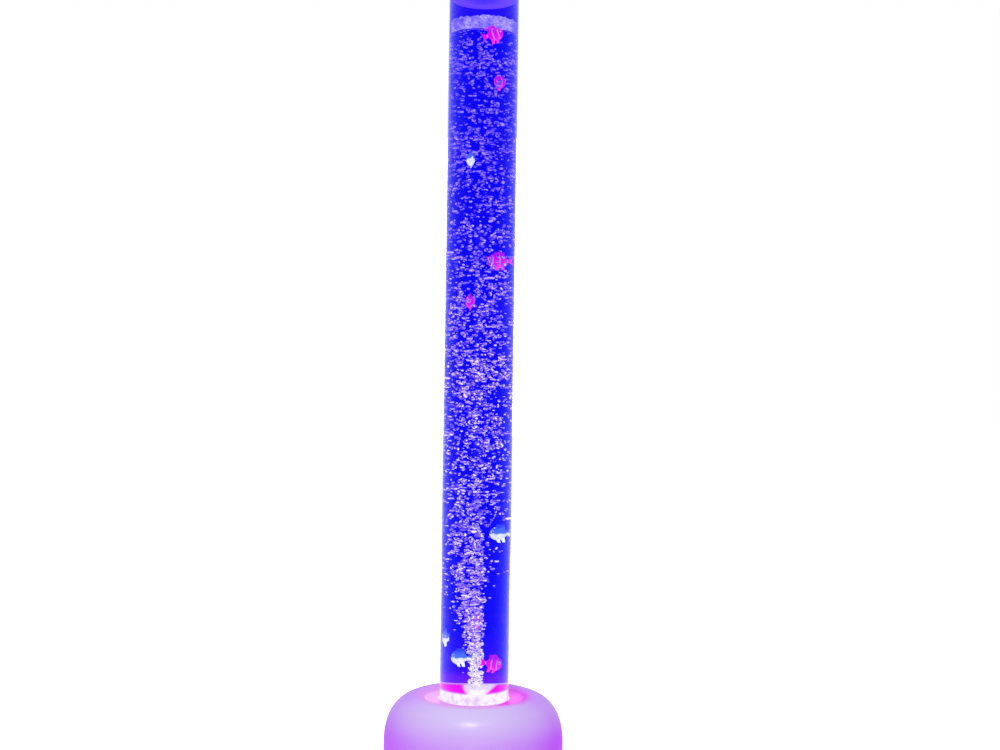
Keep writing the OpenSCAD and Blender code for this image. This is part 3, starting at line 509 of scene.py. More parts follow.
# %% [markdown]
# ## Helpers that build surfaces
# Every new surface is a grid of points. A turned surface carries a profile round the axis,
# and a closed skin is the same grid with its ends drawn to a point, then welded. The faces
# of a grid are always the same: each quad joins a point to its neighbours.

# %% Grids, turned surfaces and pieces
def grid_quads(rows, columns, close_rows=False, close_columns=True):
    """The four corners of each quad between neighbouring rows and columns of a point grid."""
    r, c = np.meshgrid(np.arange(rows if close_rows else rows - 1),
                       np.arange(columns if close_columns else columns - 1), indexing="ij")
    below, beside = (r + 1) % rows, (c + 1) % columns
    quads = [r * columns + c, r * columns + beside, below * columns + beside, below * columns + c]
    return np.stack(quads, axis=-1).reshape(-1, 4)


def turned(profile, sides=192, closed=False):
    """Carries the profile's (radius, height) points round the axis:
    x = radius * cos(turn), y = radius * sin(turn), z = height."""
    radius, height = np.array(profile, float).T
    turn = np.linspace(0, 2 * np.pi, sides, endpoint=False)
    points = np.stack([np.outer(radius, np.cos(turn)), np.outer(radius, np.sin(turn)),
                       np.repeat(height[:, None], sides, axis=1)], axis=-1)
    return points.reshape(-1, 3), grid_quads(len(radius), sides, close_rows=closed)


def arc(centre_r, centre_z, radius, start, end, steps=5):
    """Profile points on a circle's arc; angles in degrees, 0 outwards and 90 up."""
    a = np.radians(np.linspace(start, end, steps))
    return np.stack([centre_r + radius * np.cos(a), centre_z + radius * np.sin(a)], axis=-1)


def outwards(points, faces):
    """The same faces, turned over if the volume they enclose comes out negative."""
    a, b, c = points[faces[:, 0]], points[faces[:, 1]], points[faces[:, 2]]
    volume = np.einsum("ij,ij->", a, np.cross(b, c))
    if faces.shape[1] == 4:
        volume += np.einsum("ij,ij->", a, np.cross(c, points[faces[:, 3]]))
    return faces if volume > 0 else faces[:, ::-1]


def weld(mesh, reach=1e-6):
    """Joins the points of a mesh that lie within reach of each other."""
    work = bmesh.new()
    work.from_mesh(mesh)
    bmesh.ops.remove_doubles(work, verts=work.verts, dist=reach)
    work.to_mesh(mesh)
    work.free()


def register(piece, body, replaces):
    """Tells the frame which body a piece rides on, and hides the CAD parts that it stands for."""
    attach(piece, body)
    if replaces:
        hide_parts(*replaces)
    return piece


def make_piece(name, points, faces, finish, body="base", slot="clear_acrylic", closed=True,
               replaces=(), sharp=40):
    """A mesh object from points and faces, riding on a CAD body. closed welds its seams.
    Edges sharper than the given angle stay crisp, and the rest of the surface is smooth."""
    faces = outwards(points, faces)
    count, corners = faces.shape
    mesh = bpy.data.meshes.new(name)
    mesh.vertices.add(len(points))
    mesh.vertices.foreach_set("co", points.astype(np.float32).ravel())
    mesh.loops.add(count * corners)
    mesh.loops.foreach_set("vertex_index", faces.astype(np.int32).ravel())
    mesh.polygons.add(count)
    mesh.polygons.foreach_set("loop_start", np.arange(0, count * corners, corners, dtype=np.int32))
    mesh.polygons.foreach_set("use_smooth", np.ones(count, bool))
    mesh.update(calc_edges=True)
    if closed:
        weld(mesh)
    mesh.set_sharp_from_angle(angle=math.radians(sharp))
    mesh.materials.append(FINISH[finish])
    return register(show(name, mesh), body, replaces)


def smooth_copy(node, name, finish, angle=30):
    """A copy of a CAD part with its loose triangles welded and its curves shaded smooth."""
    part = frame["nodes"][node]
    mesh = part.data.copy()
    weld(mesh, 2e-6)
    if "custom_normal" in mesh.attributes:
        mesh.attributes.remove(mesh.attributes["custom_normal"])
    mesh.polygons.foreach_set("use_smooth", np.ones(len(mesh.polygons), bool))
    mesh.set_sharp_from_angle(angle=math.radians(angle))
    mesh.materials.clear()
    mesh.materials.append(FINISH[finish])
    return register(show(name, mesh), part["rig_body"], [node])


print("surface helpers ready")

# %% [markdown]
# ## Tube, water and liner
# The tube is extruded acrylic with polished ends: a closed profile of outer wall, rounded
# lip, inner wall and rounded lip, carried round the axis. The CAD tube has a facet every few
# degrees, which a lens would show, so a finer one stands for it.

# %% Tube
LIP = 0.6 * MM
SUPPORT = 1.5 * MM             # rows next to a lip keep the straight wall's shading straight
low_z, high_z = tube_low.z, tube_high.z
tube_profile = np.concatenate([
    arc(TUBE_R - LIP, low_z + LIP, LIP, -90, 0), [[TUBE_R, low_z + SUPPORT]],
    [[TUBE_R, high_z - SUPPORT]], arc(TUBE_R - LIP, high_z - LIP, LIP, 0, 90),
    arc(TANK_R + LIP, high_z - LIP, LIP, 90, 180), [[TANK_R, high_z - SUPPORT]],
    [[TANK_R, low_z + SUPPORT]], arc(TANK_R + LIP, low_z + LIP, LIP, 180, 270)])
tube = make_piece("tube_clear", *turned(tube_profile, 256, closed=True),
                  "clear_acrylic", replaces=["tube"])
print(tube.name, len(tube.data.polygons), "faces")

# %% [markdown]
# The water's top curls up a little where it wets the wall. The glowing skin is a fifth of
# a millimetre thick and lies inside the acrylic: its outer side is never seen. A thin film
# of cement joins the tank floor to the tube, and lights up with the disc's edge.

# %% Water and liner
SOAK = 0.3 * MM                # how far the water reaches into the wall
SKIN_R, SKIN_T = TUBE_R - 0.3 * MM, 0.2 * MM
MENISCUS = 1.2 * MM
reach = TANK_R + SOAK
water_profile = np.concatenate([
    [[0, TANK_Z - 0.1 * MM], [reach, TANK_Z - 0.1 * MM], [reach, TANK_Z + SUPPORT]],
    [[reach, WATER_Z - SUPPORT], [reach, WATER_Z + MENISCUS]],
    [[reach - 0.4 * MM, WATER_Z + MENISCUS]],
    [[TANK_R - 1.2 * MM, WATER_Z + 0.3 * MM], [TANK_R - 3 * MM, WATER_Z], [0, WATER_Z]]])
tank_water = make_piece("tank_water", *turned(water_profile, 256), "tank_water")

skin_low, skin_high = low_z + 1 * MM, high_z - 1 * MM
liner_profile = [[SKIN_R, skin_low], [SKIN_R, skin_high], [SKIN_R - SKIN_T, skin_high],
                 [SKIN_R - SKIN_T, skin_low]]
far_wall = make_piece("far_wall", *turned(liner_profile, 192, closed=True), "far_wall_glow")
far_wall.data.materials.append(FINISH["far_wall_back"])
middles = np.zeros(len(far_wall.data.polygons) * 3)
far_wall.data.polygons.foreach_get("center", middles)
outer_skin = np.hypot(middles[0::3], middles[1::3]) > SKIN_R - SKIN_T / 2
far_wall.data.polygons.foreach_set("material_index", outer_skin.astype(np.int32))

film_profile = [[TANK_R + 0.15 * MM, TANK_Z - 19.6 * MM], [TANK_R + 0.15 * MM, TANK_Z - 0.2 * MM],
                [TANK_R - 0.15 * MM, TANK_Z - 0.2 * MM], [TANK_R - 0.15 * MM, TANK_Z - 19.6 * MM]]
make_piece("cement_film", *turned(film_profile, 192, closed=True), "tank_floor_glow")
print("water", len(tank_water.data.polygons), "faces; skin's outer side", int(outer_skin.sum()))

# %% [markdown]
# ## Where the fish swim
# Each fish drifts up and down in a lane of its own. These are the rows that place the fish
# in the CAD: across and back as shares of the tube's inner radius, the way it heads, its
# nose-up tilt and its height as a share of the water's depth. Bubbles are air on the move,
# which parts round a fish. So in this still picture the bubbles leave room for each fish
# where it rests and at the two ends of its drift, and fill the tank elsewhere.

# %% Fish places and lanes
FISH = [
    ( 0.255, -0.766,  12,  20, 0.9937, "orange"),
    ( 0.277,  0.600,  86,  10, 0.9340, "orange"),
    (-0.249, -0.085,  95, -10, 0.8108, "blue"),
    ( 0.445,  0.155, 180,   0, 0.6560, "orange"),
    (-0.191,  0.617,  90,   0, 0.5939, "orange"),
    ( 0.630, -0.106, 186,   0, 0.2390, "blue"),
    ( 0.043,  0.511,  90,  10, 0.0993, "orange"),
    (-0.702, -0.043, 240,   5, 0.0779, "blue"),
    (-0.340, -0.606, 180,   0, 0.0529, "blue"),
    ( 0.457, -0.447,   0,  -8, 0.0430, "orange"),
]
FISH_LEN, FISH_H, FISH_T = 30 * MM, 19 * MM, 8.5 * MM
FIN_T, FIN_H = 1.6 * MM, 4.5 * MM
BODY_LEN = 0.76 * FISH_LEN
BODY_MID = (FISH_LEN - BODY_LEN) / 2
TILT_ROOM = 2 * MM             # a tilted fish is a little longer seen from above


def near_a_fish(x, y, z, room):
    """True where a point stands nearer than room to a fish at rest or at an end of its
    drift. Seen from above a fish is a lens as long and thick as its body, and a strip as
    thin as its fins out to nose and tail; its height with fins is the same all along."""
    tall = FISH_H / 2 + FIN_H + TILT_ROOM
    near_top = (z > WATER_Z - 2 * tall - room) & (z < WATER_Z - 5 * MM + tall + room)
    at_an_end = (z < TANK_Z + 2 * tall + 6 * MM + room) | near_top
    taken = np.zeros(len(x), bool)
    for across, back, heading, _, share, _ in FISH:
        dx, dy = x - across * TANK_R, y - back * TANK_R
        turn = math.radians(heading)
        ahead = dx * math.cos(turn) + dy * math.sin(turn)
        aside = np.abs(dy * math.cos(turn) - dx * math.sin(turn))
        from_mid = (ahead - BODY_MID) / (BODY_LEN / 2 + TILT_ROOM)
        half = FISH_T / 2 * np.clip(1.4 * (1 - from_mid ** 2), 0, 1)
        half = np.maximum(half, FIN_T / 2)
        under = (np.abs(ahead) < FISH_LEN / 2 + TILT_ROOM + room) & (aside < half + room)
        beside = np.abs(z - TANK_Z - share * WATER_DEPTH) < tall + room
        taken |= under & (at_an_end | beside)
    return taken


CORE, PROBES = 33 * MM, 9999   # half the width of the square core, and points tried in it
probes = np.random.default_rng(1).uniform((-CORE, -CORE, TANK_Z), (CORE, CORE, WATER_Z),
                                         (PROBES, 3))
print(f"fish take {near_a_fish(*probes.T, 2 * MM).mean():.0%} of the middle of the tank")

# %% [markdown]
# ## Fish
# The fish are moulded plastic with painted bands. A body is a set of ovals along its length,
# tall and thin, drawn to a point at the nose and the root of the tail. A fin is a thin
# pillow: a front and a back sheet that meet along their edges, with rays that swell it.
# The paint follows a flat map of the fish's side, stored as its UV map.

# %% Fish surfaces
def fish_body(rows=30, columns=28):
    """Ovals along the body: height and thickness both follow sin(pi * s ^ 0.8) ^ p, so the
    nose is blunt and the tail's root slim."""
    s = np.linspace(0, 1, rows)
    swell = np.sin(np.pi * s ** 0.8)
    tall = FISH_H / 2 * np.maximum(swell, 0) ** 0.62
    thick = FISH_T / 2 * np.maximum(swell, 0) ** 0.9
    x = FISH_LEN / 2 - s * BODY_LEN
    turn = np.linspace(0, 2 * np.pi, columns, endpoint=False)
    points = np.stack([np.repeat(x[:, None], columns, axis=1),
                       np.outer(thick, np.cos(turn)), np.outer(tall, np.sin(turn))], axis=-1)
    return points.reshape(-1, 3), grid_quads(rows, columns)


def fin(root_a, root_b, tip_a, tip_b, rays=7, bow=0.0, lean=0.0, rows=9, columns=22):
    """A fin between two root points and two tip points in the fish's side view. Across it
    the tip is scalloped by the rays; its thickness swells on each ray and closes to nothing
    along every edge. lean tips it sideways and bow curves its outer edge."""
    s, t = np.meshgrid(np.linspace(0, 1, rows), np.linspace(0, 1, columns), indexing="ij")
    root = np.outer(1 - t.ravel(), root_a) + np.outer(t.ravel(), root_b)
    tip = np.outer(1 - t.ravel(), tip_a) + np.outer(t.ravel(), tip_b)
    out = s.ravel() * (1 + bow * np.sin(np.pi * t.ravel())
                       - 0.05 * np.abs(np.sin(rays * np.pi * t.ravel())))
    flat = root + (tip - root) * out[:, None]
    edge = (16 * s * (1 - s) * t * (1 - t)).clip(0).ravel() ** 0.25
    swell = edge * (0.6 + 0.4 * np.cos(2 * np.pi * rays * t.ravel())) * FIN_T * 0.42
    middle = lean * s.ravel()
    front = np.stack([flat[:, 0], middle + swell, flat[:, 1]], axis=-1)
    back = np.stack([flat[:, 0], middle - swell, flat[:, 1]], axis=-1)
    quads = grid_quads(rows, columns, close_columns=False)
    return np.concatenate([front, back]), np.concatenate([quads, quads[:, ::-1] + rows * columns])


def fish_fins():
    """Tail, back fin, two belly fins and a pair of side fins. A row gives two root points
    and two tip points in millimetres, the number of rays and the bow."""
    rows = [
        ((-7.2, 1.8), (-7.2, -1.8), (-15, 6.4), (-15, -6.4), 9, -0.22),
        ((-4.4, 6.2), (9.4, 6.6), (-4.0, 12.2), (6.2, 12.8), 9, 0.06),
        ((-3.8, -6.6), (1.0, -8.2), (-4.6, -13.2), (-1.2, -13.0), 5, 0.0),
        ((3.0, -8.4), (8.2, -6.8), (1.2, -13.6), (4.8, -13.0), 5, 0.0),
    ]
    fins = [fin(*np.multiply(corners, MM), rays, bow) for *corners, rays, bow in rows]
    side_fin = np.multiply([(1.4, 0), (1.4, -3.0), (-3.6, 1.0), (-3.6, -5.4)], MM)
    for way in (-1, 1):
        points, quads = fin(*side_fin, rays=5, lean=0.1 * MM, bow=0.1)
        points[:, 0] += 4.8 * MM
        points[:, 1] += way * (FISH_T / 2 - 0.75 * MM)
        fins.append((points, quads))
    return fins


def joined(parts):
    """Several (points, faces) sets as one."""
    offsets = np.cumsum([0] + [len(p) for p, _ in parts[:-1]])
    return (np.concatenate([p for p, _ in parts]),
            np.concatenate([f + o for (_, f), o in zip(parts, offsets)]))


def fish_eyes():
    """Two eyes: a white ball set in each side of the head, and a dark pupil on it."""
    ball_points, ball_faces = turned(arc(0, 0, 1, -90, 90, 7), 14)
    parts = []
    for radius, proud in ((2.0 * MM, 0.0), (1.2 * MM, 0.75 * MM)):
        for way in (-1, 1):
            centre = np.array([11.2 * MM, way * (2.55 * MM + proud), 2.4 * MM])
            flat = ball_points * radius * (1, 0.55, 1)
            parts.append((flat + centre, ball_faces))
    return parts


parts = [fish_body()] + fish_fins() + fish_eyes()
print("one fish:", sum(len(f) for _, f in parts), "faces")

# %% [markdown]
# Orange fish wear three white bands with dark edges; in the violet light they look pink.
# Blue fish are pale below. A colour ramp turns the place along the fish, bent a little with
# its height, into bands.

# %% Fish paint
def stripes(tree, value, stops):
    """A colour ramp with the given (place, colour) stops."""
    ramp = tree.nodes.new("ShaderNodeValToRGB")
    ramp.color_ramp.interpolation = "LINEAR"
    for i, (spot, color) in enumerate(stops):
        stop = ramp.color_ramp.elements[i] if i < 2 else ramp.color_ramp.elements.new(spot)
        stop.position = spot
        stop.color = (*color, 1)
    tree.links.new(value, ramp.inputs[0])
    return ramp.outputs[0]


def bands(edges, body, band, line, rim=0.012, soft=0.008):
    """Stops for bands of colour with a dark line on each side."""
    stops = [(0.0, body)]
    for start, end in edges:
        stops += [(start - rim - soft, body), (start - rim, line), (start, line),
                  (start + soft, band), (end - soft, band), (end, line), (end + rim, line),
                  (end + rim + soft, body)]
    return stops


def painted(name, build):
    """A fish's paint. build makes its colour from the flat map of the side, and from the
    map's two parts: the place along the fish (u) and up it (v). The same colour also glows:
    painted light that stands for the tube's light falling on the fish."""
    tree, shader = new_material(name)
    side = add(tree, "TexCoord").outputs["UV"]
    flat = add(tree, "SeparateXYZ", in_0=side)
    color = build(tree, side, flat.outputs[0], flat.outputs[1])
    rays = add(tree, "TexWave", Scale=9.0, Distortion=1.5, Detail=1.0, Vector=side).outputs["Fac"]
    color = scaled(tree, color, calc(tree, "MULTIPLY_ADD", rays, 0.2, 0.85))
    # painted light: the paint's colour glows, standing for the tube's light on the fish
    wire(tree, shader, Base_Color=color, Emission_Color=color, Emission_Strength=0.95,
         Roughness=0.3)


def orange_paint(tree, side, u, v):
    """Three bands, bowed with the height on the fish; violet above and pink below."""
    up = calc(tree, "SUBTRACT", v, 0.5)
    bent = calc(tree, "MULTIPLY_ADD", calc(tree, "MULTIPLY", up, up), 0.3, u)
    places = ((0.22, 0.28), (0.47, 0.53), (0.72, 0.77))
    shade = stripes(tree, bent, bands(places, srgb(245, 0, 214), srgb(216, 150, 255),
                                      srgb(160, 0, 205)))
    shade = mixed(tree, calc(tree, "MULTIPLY", span(tree, v, 0.56, 0.80), 0.85), shade,
                  srgb(176, 0, 212))
    return mixed(tree, calc(tree, "MULTIPLY", span(tree, v, 0.40, 0.16), 0.8), shade,
                 srgb(255, 60, 190))


def blue_paint(tree, side, u, v):
    """Pale belly, blue back, with a wavy border between them."""
    wave = calc(tree, "SUBTRACT", noise(tree, side, 5.0), 0.5)
    height = calc(tree, "MULTIPLY_ADD", wave, 0.2, v)
    shade = mixed(tree, span(tree, height, 0.44, 0.52), srgb(240, 246, 255), srgb(78, 120, 255))
    return mixed(tree, span(tree, height, 0.6, 0.9), shade, srgb(44, 70, 252))


def plain_glow(name, color, strength):
    """Eye paint with a faint fleck in it. It glows in its own colour: painted light that
    stands for the tube's light on the eye.
    """
    tree, shader = new_material(name)
    fleck = noise(tree, add(tree, "TexCoord").outputs["Object"], 900.0)
    shade = scaled(tree, color, calc(tree, "MULTIPLY_ADD", fleck, 0.2, 0.9))
    wire(tree, shader, Base_Color=shade, Emission_Color=shade, Emission_Strength=strength,
         Roughness=0.1)


painted("fish_orange", orange_paint)
painted("fish_blue", blue_paint)
plain_glow("eye_white", srgb(215, 215, 255), 0.8)
plain_glow("eye_dark", srgb(14, 4, 60), 0.6)
print("paints:", list(FINISH)[-4:])


# %% Paint and place the fish
def place_fish(number, across, back, heading, tilt, share, paint):
    """Builds fish number at its place: tilted nose up, turned to its heading, then moved."""
    body_parts = [fish_body()] + fish_fins()
    body_faces = sum(len(f) for _, f in body_parts)
    eyes = fish_eyes()
    eye_faces = sum(len(f) for _, f in eyes[:2])
    points, faces = joined(body_parts + eyes)
    at = (across * TANK_R, back * TANK_R, TANK_Z + share * WATER_DEPTH)
    move = (Matrix.Translation(at) @ Matrix.Rotation(math.radians(heading), 4, "Z")
            @ Matrix.Rotation(math.radians(-tilt), 4, "Y"))
    turn, shift = np.array(move)[:3, :3], np.array(move)[:3, 3]
    placed = points @ turn.T + shift
    name = f"fish_{number}"
    piece = make_piece(name + "_painted", placed, faces, "fish_" + paint, name + "_body",
                       "fish_" + paint, closed=False, replaces=[name], sharp=50)
    for finish in ("eye_white", "eye_dark"):
        piece.data.materials.append(FINISH[finish])
    which = np.repeat([0, 1, 2], [body_faces, eye_faces, len(faces) - body_faces - eye_faces])
    piece.data.polygons.foreach_set("material_index", which.astype(np.int32))
    corner_points = np.zeros(len(piece.data.loops), np.int32)
    piece.data.loops.foreach_get("vertex_index", corner_points)
    side_view = np.stack([(FISH_LEN / 2 - points[:, 0]) / FISH_LEN,
                          points[:, 2] / (FISH_H + 2 * FIN_H) + 0.5], axis=-1)
    paint_map = piece.data.uv_layers.new(name="side_view")
    paint_map.data.foreach_set("uv", side_view[corner_points].astype(np.float32).ravel())
    weld(piece.data)


for number, row in enumerate(FISH, 1):
    place_fish(number, *row)
print("fish placed:", len(FISH))

# %% [markdown]
# ## Bubbles
# The outlet blows a narrow column of bubbles that widens as it rises, leans to one side and
# breaks up, until bubbles fill the whole tube. They rise in puffs, so there are denser and
# thinner stretches. Thousands of bubbles have to stay light: each is a ball of 48 triangles,
# flattened a little, and one array operation places them all. Their places come from a
# seeded generator, so that they are the same in every run.

# %% A ball with few faces, and many copies of it
def small_ball(sides=8, rings=4):
    """A unit ball: two poles and rings of points at equal steps of latitude between them."""
    latitude = np.linspace(np.pi / 2, -np.pi / 2, rings + 1)[1:-1]
    turn = np.linspace(0, 2 * np.pi, sides, endpoint=False)
    belts = np.stack([np.outer(np.cos(latitude), np.cos(turn)),
                      np.outer(np.cos(latitude), np.sin(turn)),
                      np.repeat(np.sin(latitude)[:, None], sides, axis=1)], axis=-1)
    points = np.concatenate([[[0, 0, 1]], belts.reshape(-1, 3), [[0, 0, -1]]])
    i, j = np.arange(sides), (np.arange(sides) + 1) % sides
    last = 1 + (rings - 2) * sides
    top = np.stack([np.zeros(sides, int), 1 + i, 1 + j], axis=-1)
    bottom = np.stack([np.full(sides, len(points) - 1), last + j, last + i], axis=-1)
    quads = grid_quads(rings - 1, sides) + 1
    belt = np.concatenate([quads[:, [0, 3, 2]], quads[:, [0, 2, 1]]])
    return points, np.concatenate([top, belt, bottom])


def many_balls(centres, sizes, ball):
    """Every ball at once: point = centre + size * unit point, along each axis."""
    unit, triangles = ball
    points = centres[:, None, :] + unit[None] * sizes[:, None, :]
    faces = triangles[None] + (np.arange(len(centres)) * len(unit))[:, None, None]
    return points.reshape(-1, 3), faces.reshape(-1, 3)


def sparkle(centres, ball, random, steep=0.95):
    """How bright each point of each ball is. Each ball has a light direction of its own,
    mostly up. Half of the balls shine on the two caps that face it or turn their back to
    it, and half shine in a belt between the caps, which looks like a ring."""
    aim = random.normal(size=(len(centres), 3)) * (0.6, 0.6, 1.0)
    aim /= np.linalg.norm(aim, axis=1, keepdims=True)
    facing = np.abs(np.einsum("bi,pi->bp", aim, ball[0]))
    belt = random.uniform(size=(len(centres), 1)) < 0.5
    facing = np.where(belt, 1 - facing, facing) ** 1.3
    level = random.uniform(0.15, 1.0, (len(centres), 1)) ** 0.5
    return (level * (1 - steep + steep * facing)).ravel()


def give_glow(piece, values):
    """Stores the brightness of each point as the attribute that the finish reads."""
    glow = piece.data.attributes.new("glow", "FLOAT", "POINT")
    glow.data.foreach_set("value", values.astype(np.float32))


ball = small_ball()
print("one bubble:", len(ball[0]), "points,", len(ball[1]), "triangles")


# %% Where bubbles are
def smoothstep(value, low, high):
    """0 below low, 1 above high, smooth between."""
    t = np.clip((value - low) / (high - low), 0, 1)
    return t * t * (3 - 2 * t)


def crowding(rise):
    """Bubbles per millimetre of height, on a scale of its own: dense at the outlet, then
    puffs with thinner stretches between them, and dense again under the froth."""
    heights = (120, 206, 300, 350, 430, 500, 570, 640, 710, 782, 854, 900)
    puffs = np.interp(rise, heights, (50, 76, 66, 70, 74, 74, 70, 56, 50, 68, 44, 60)) / 100
    near_top = 0.9 * smoothstep(rise, WATER_DEPTH / MM - 60, WATER_DEPTH / MM - 20)
    return puffs + 1.2 * np.exp(-rise / 45) + near_top


def column_lean(rise):
    """How far the column has drifted sideways at a height, in millimetres."""
    return np.interp(rise, (0, 20, 70, 125, 200, 300), (4.5, 4, 0.2, -5, -3, -1))


def column_spread(rise):
    """How wide the column is at a height, in millimetres."""
    return np.interp(rise, (0, 15, 70, 130, 200, 400), (6.5, 6.5, 5.6, 13, 17, 24))


TRIES_EACH = 10                # a try is lost where it meets the wall, a fish or another rule
SPREAD_MAX = 46                # farthest from the axis that a middle may lie, in mm
CLEAR_X = 9                    # right of this the water is clear low down, in mm
YOUNG_RISE, YOUNG_MAX = 60, 1.7    # up to this height radii stay under this, in mm
SMALLEST, LARGEST = 0.9, 3.4   # radii, in mm
LONGEST = 1.2                  # a bubble's longest half axis over its radius
AIR_GAP = 0.3 * MM             # kept free between a bubble and the wall or a fish


def bubble_cloud(count, random):
    """Places and half axes of bubbles, in metres. The height follows the crowding curve.
    Across, a bubble is in the leaning column, or anywhere but low on the right."""
    depth = WATER_DEPTH / MM
    heights = np.linspace(4, depth - 3, 800)
    share = np.cumsum(crowding(heights))
    tries = count * TRIES_EACH
    rise = np.interp(random.uniform(0, share[-1], tries), share, heights)
    x = random.normal(size=tries) * column_spread(rise) + column_lean(rise)
    y = random.normal(size=tries) * column_spread(rise)
    anywhere = random.uniform(size=tries) < 0.9 * smoothstep(rise, 90, 420)
    ring = SPREAD_MAX * np.sqrt(random.uniform(size=tries))
    turn = random.uniform(0, 2 * np.pi, tries)
    x = np.where(anywhere, ring * np.cos(turn), x) * MM
    y = np.where(anywhere, ring * np.sin(turn), y) * MM
    filled = smoothstep(rise, YOUNG_RISE, 420) ** 0.7
    clear_right = (x > CLEAR_X * MM) & (random.uniform(size=tries) > filled)
    radius = np.clip(np.exp(random.normal(0.52, 0.34, tries)), SMALLEST, LARGEST) * MM
    radius = np.where(rise < YOUNG_RISE, np.minimum(radius, YOUNG_MAX * MM), radius)
    inside = np.hypot(x, y) < TANK_R - LONGEST * radius - AIR_GAP
    near_fish = near_a_fish(x, y, TANK_Z + rise * MM, LONGEST * radius + AIR_GAP)
    fits = inside & ~clear_right & ~near_fish
    chosen = np.flatnonzero(fits)[:count]
    centres = np.stack([x, y, TANK_Z + rise * MM], axis=-1)[chosen]
    shapes = random.uniform((0.8, 0.8, 0.5), (LONGEST, LONGEST, 1.1), (tries, 3))
    return centres, (radius[:, None] * shapes)[chosen]


print(f"up to {TRIES_EACH} tries for each bubble, radii {SMALLEST} to {LARGEST} mm")


# %% [markdown]
# A bubble is a mirror of the light round it. Here its finish glows in lavender, whiter near
# the outlet, where the light is strong, and dim on its shaded side.

# %% Bubble finish
def stored_glow(tree):
    """The brightness that give_glow stored at each point."""
    return add(tree, "Attribute", {"attribute_name": "glow"}).outputs["Fac"]


BUBBLE_BASE = (0.05, 0.04, 0.2)
tree, shader = new_material("bubble")
place, x, y, z = place_xyz(tree)
light = mixed(tree, span(tree, z, 0.75, 0.40), srgb(252, 222, 255), srgb(255, 244, 255))
light = mixed(tree, span(tree, z, 0.55, 1.0), light, srgb(170, 142, 250))
near_outlet = span(tree, z, TANK_Z + 110 * MM, TANK_Z + 20 * MM)
light = mixed(tree, near_outlet, light, srgb(255, 253, 255))
dark = mixed(tree, span(tree, z, 0.5, 0.22), srgb(14, 2, 244), srgb(96, 60, 250))
strength = stored_glow(tree)
strength = calc(tree, "POWER", strength, calc(tree, "MULTIPLY_ADD", near_outlet, -0.45, 1.0))
violet = mixed(tree, near_outlet, srgb(154, 118, 253), srgb(186, 164, 255))
violet = mixed(tree, span(tree, z, 0.6, 1.0), violet, srgb(112, 84, 250))
glow = mixed(tree, span(tree, strength, 0.02, 0.50), dark, violet)
glow = mixed(tree, span(tree, strength, 0.34, 0.76), glow, light)
wire(tree, shader, Emission_Color=glow, Emission_Strength=1.25, Base_Color=BUBBLE_BASE,
     Roughness=0.1, Specular_IOR_Level=0.1)
FINISH["bubble"].cycles.emission_sampling = "NONE"
print("bubble finish has", len(tree.nodes), "nodes")

# %% Fill the tank with bubbles
BUBBLES = 4500
random = np.random.default_rng(26)
centres, sizes = bubble_cloud(BUBBLES, random)
order = np.argsort(centres[:, 2])
for title, part in zip(("low", "middle", "high"), np.array_split(order, 3)):
    points, faces = many_balls(centres[part], sizes[part], ball)
    piece = make_piece("bubbles_" + title, points, faces, "bubble", closed=False, sharp=180)
    give_glow(piece, sparkle(centres[part], ball, random))
    print(piece.name, len(part), "bubbles,", len(faces), "triangles")

# %% [markdown]
# ## Froth
# Bubbles pile up on the water before they burst. The froth is a layer of cells that overlap:
# a band two centimetres high that touches the wall, and a sheet of larger cells on top.

# %% Froth
FROTH_H = 20 * MM
# The froth glows like the bubbles: painted light and highlights, the tube's light caught in the
# cells, in lighter and darker spots and brightest where sparkle puts it.
tree, shader = new_material("froth")
place, x, y, z = place_xyz(tree)
strength = stored_glow(tree)
light_patches = span(tree, noise(tree, place, 55.0), 0.44, 0.62)
light = mixed(tree, light_patches, srgb(204, 190, 255), srgb(140, 118, 252))
glow = mixed(tree, strength, srgb(84, 62, 250), light)
wire(tree, shader, Emission_Color=glow, Emission_Strength=1.0, Base_Color=BUBBLE_BASE,
     Roughness=0.15, Specular_IOR_Level=0.2)
FINISH["froth"].cycles.emission_sampling = "NONE"

cell = small_ball(10, 6)
WALL_CELLS, TOP_CELLS = 640, 900
TOP_REACH = 43 * MM            # the farthest that the sheet on top reaches from the axis
FLATNESS = 0.8                 # a cell's half height over its radius
random = np.random.default_rng(7)
size = np.concatenate([random.uniform(1.8, 4.2, WALL_CELLS), random.uniform(3, 6, TOP_CELLS)]) * MM
turn = random.uniform(0, 2 * np.pi, WALL_CELLS + TOP_CELLS)
far = np.concatenate([np.full(WALL_CELLS, TANK_R + 0.1 * MM),
                      TOP_REACH * np.sqrt(random.uniform(size=TOP_CELLS))]) - size
height = np.concatenate([random.uniform(0.15, 0.95, WALL_CELLS),
                         random.uniform(0.80, 0.95, TOP_CELLS)]) * FROTH_H
height = np.clip(height, size * FLATNESS + AIR_GAP, FROTH_H - size * 0.5)
centres = np.stack([far * np.cos(turn), far * np.sin(turn), WATER_Z + height], axis=-1)
free = ~near_a_fish(*centres.T, size + AIR_GAP)
centres, size = centres[free], size[free]
points, faces = many_balls(centres, np.stack([size, size, size * FLATNESS], axis=-1), cell)
froth = make_piece("froth_cells", points, faces, "froth", closed=False, sharp=180)
give_glow(froth, sparkle(centres, cell, random, 0.6))
print("froth cells:", len(centres))

# %% [markdown]
# ## Finish the CAD parts
# The shell and the cap have long soft curves, and the CAD triangles break the highlight into
# bands. A welded copy with smooth shading stands for each of them. Every other part keeps
# its own mesh and gets the finish of its slot.

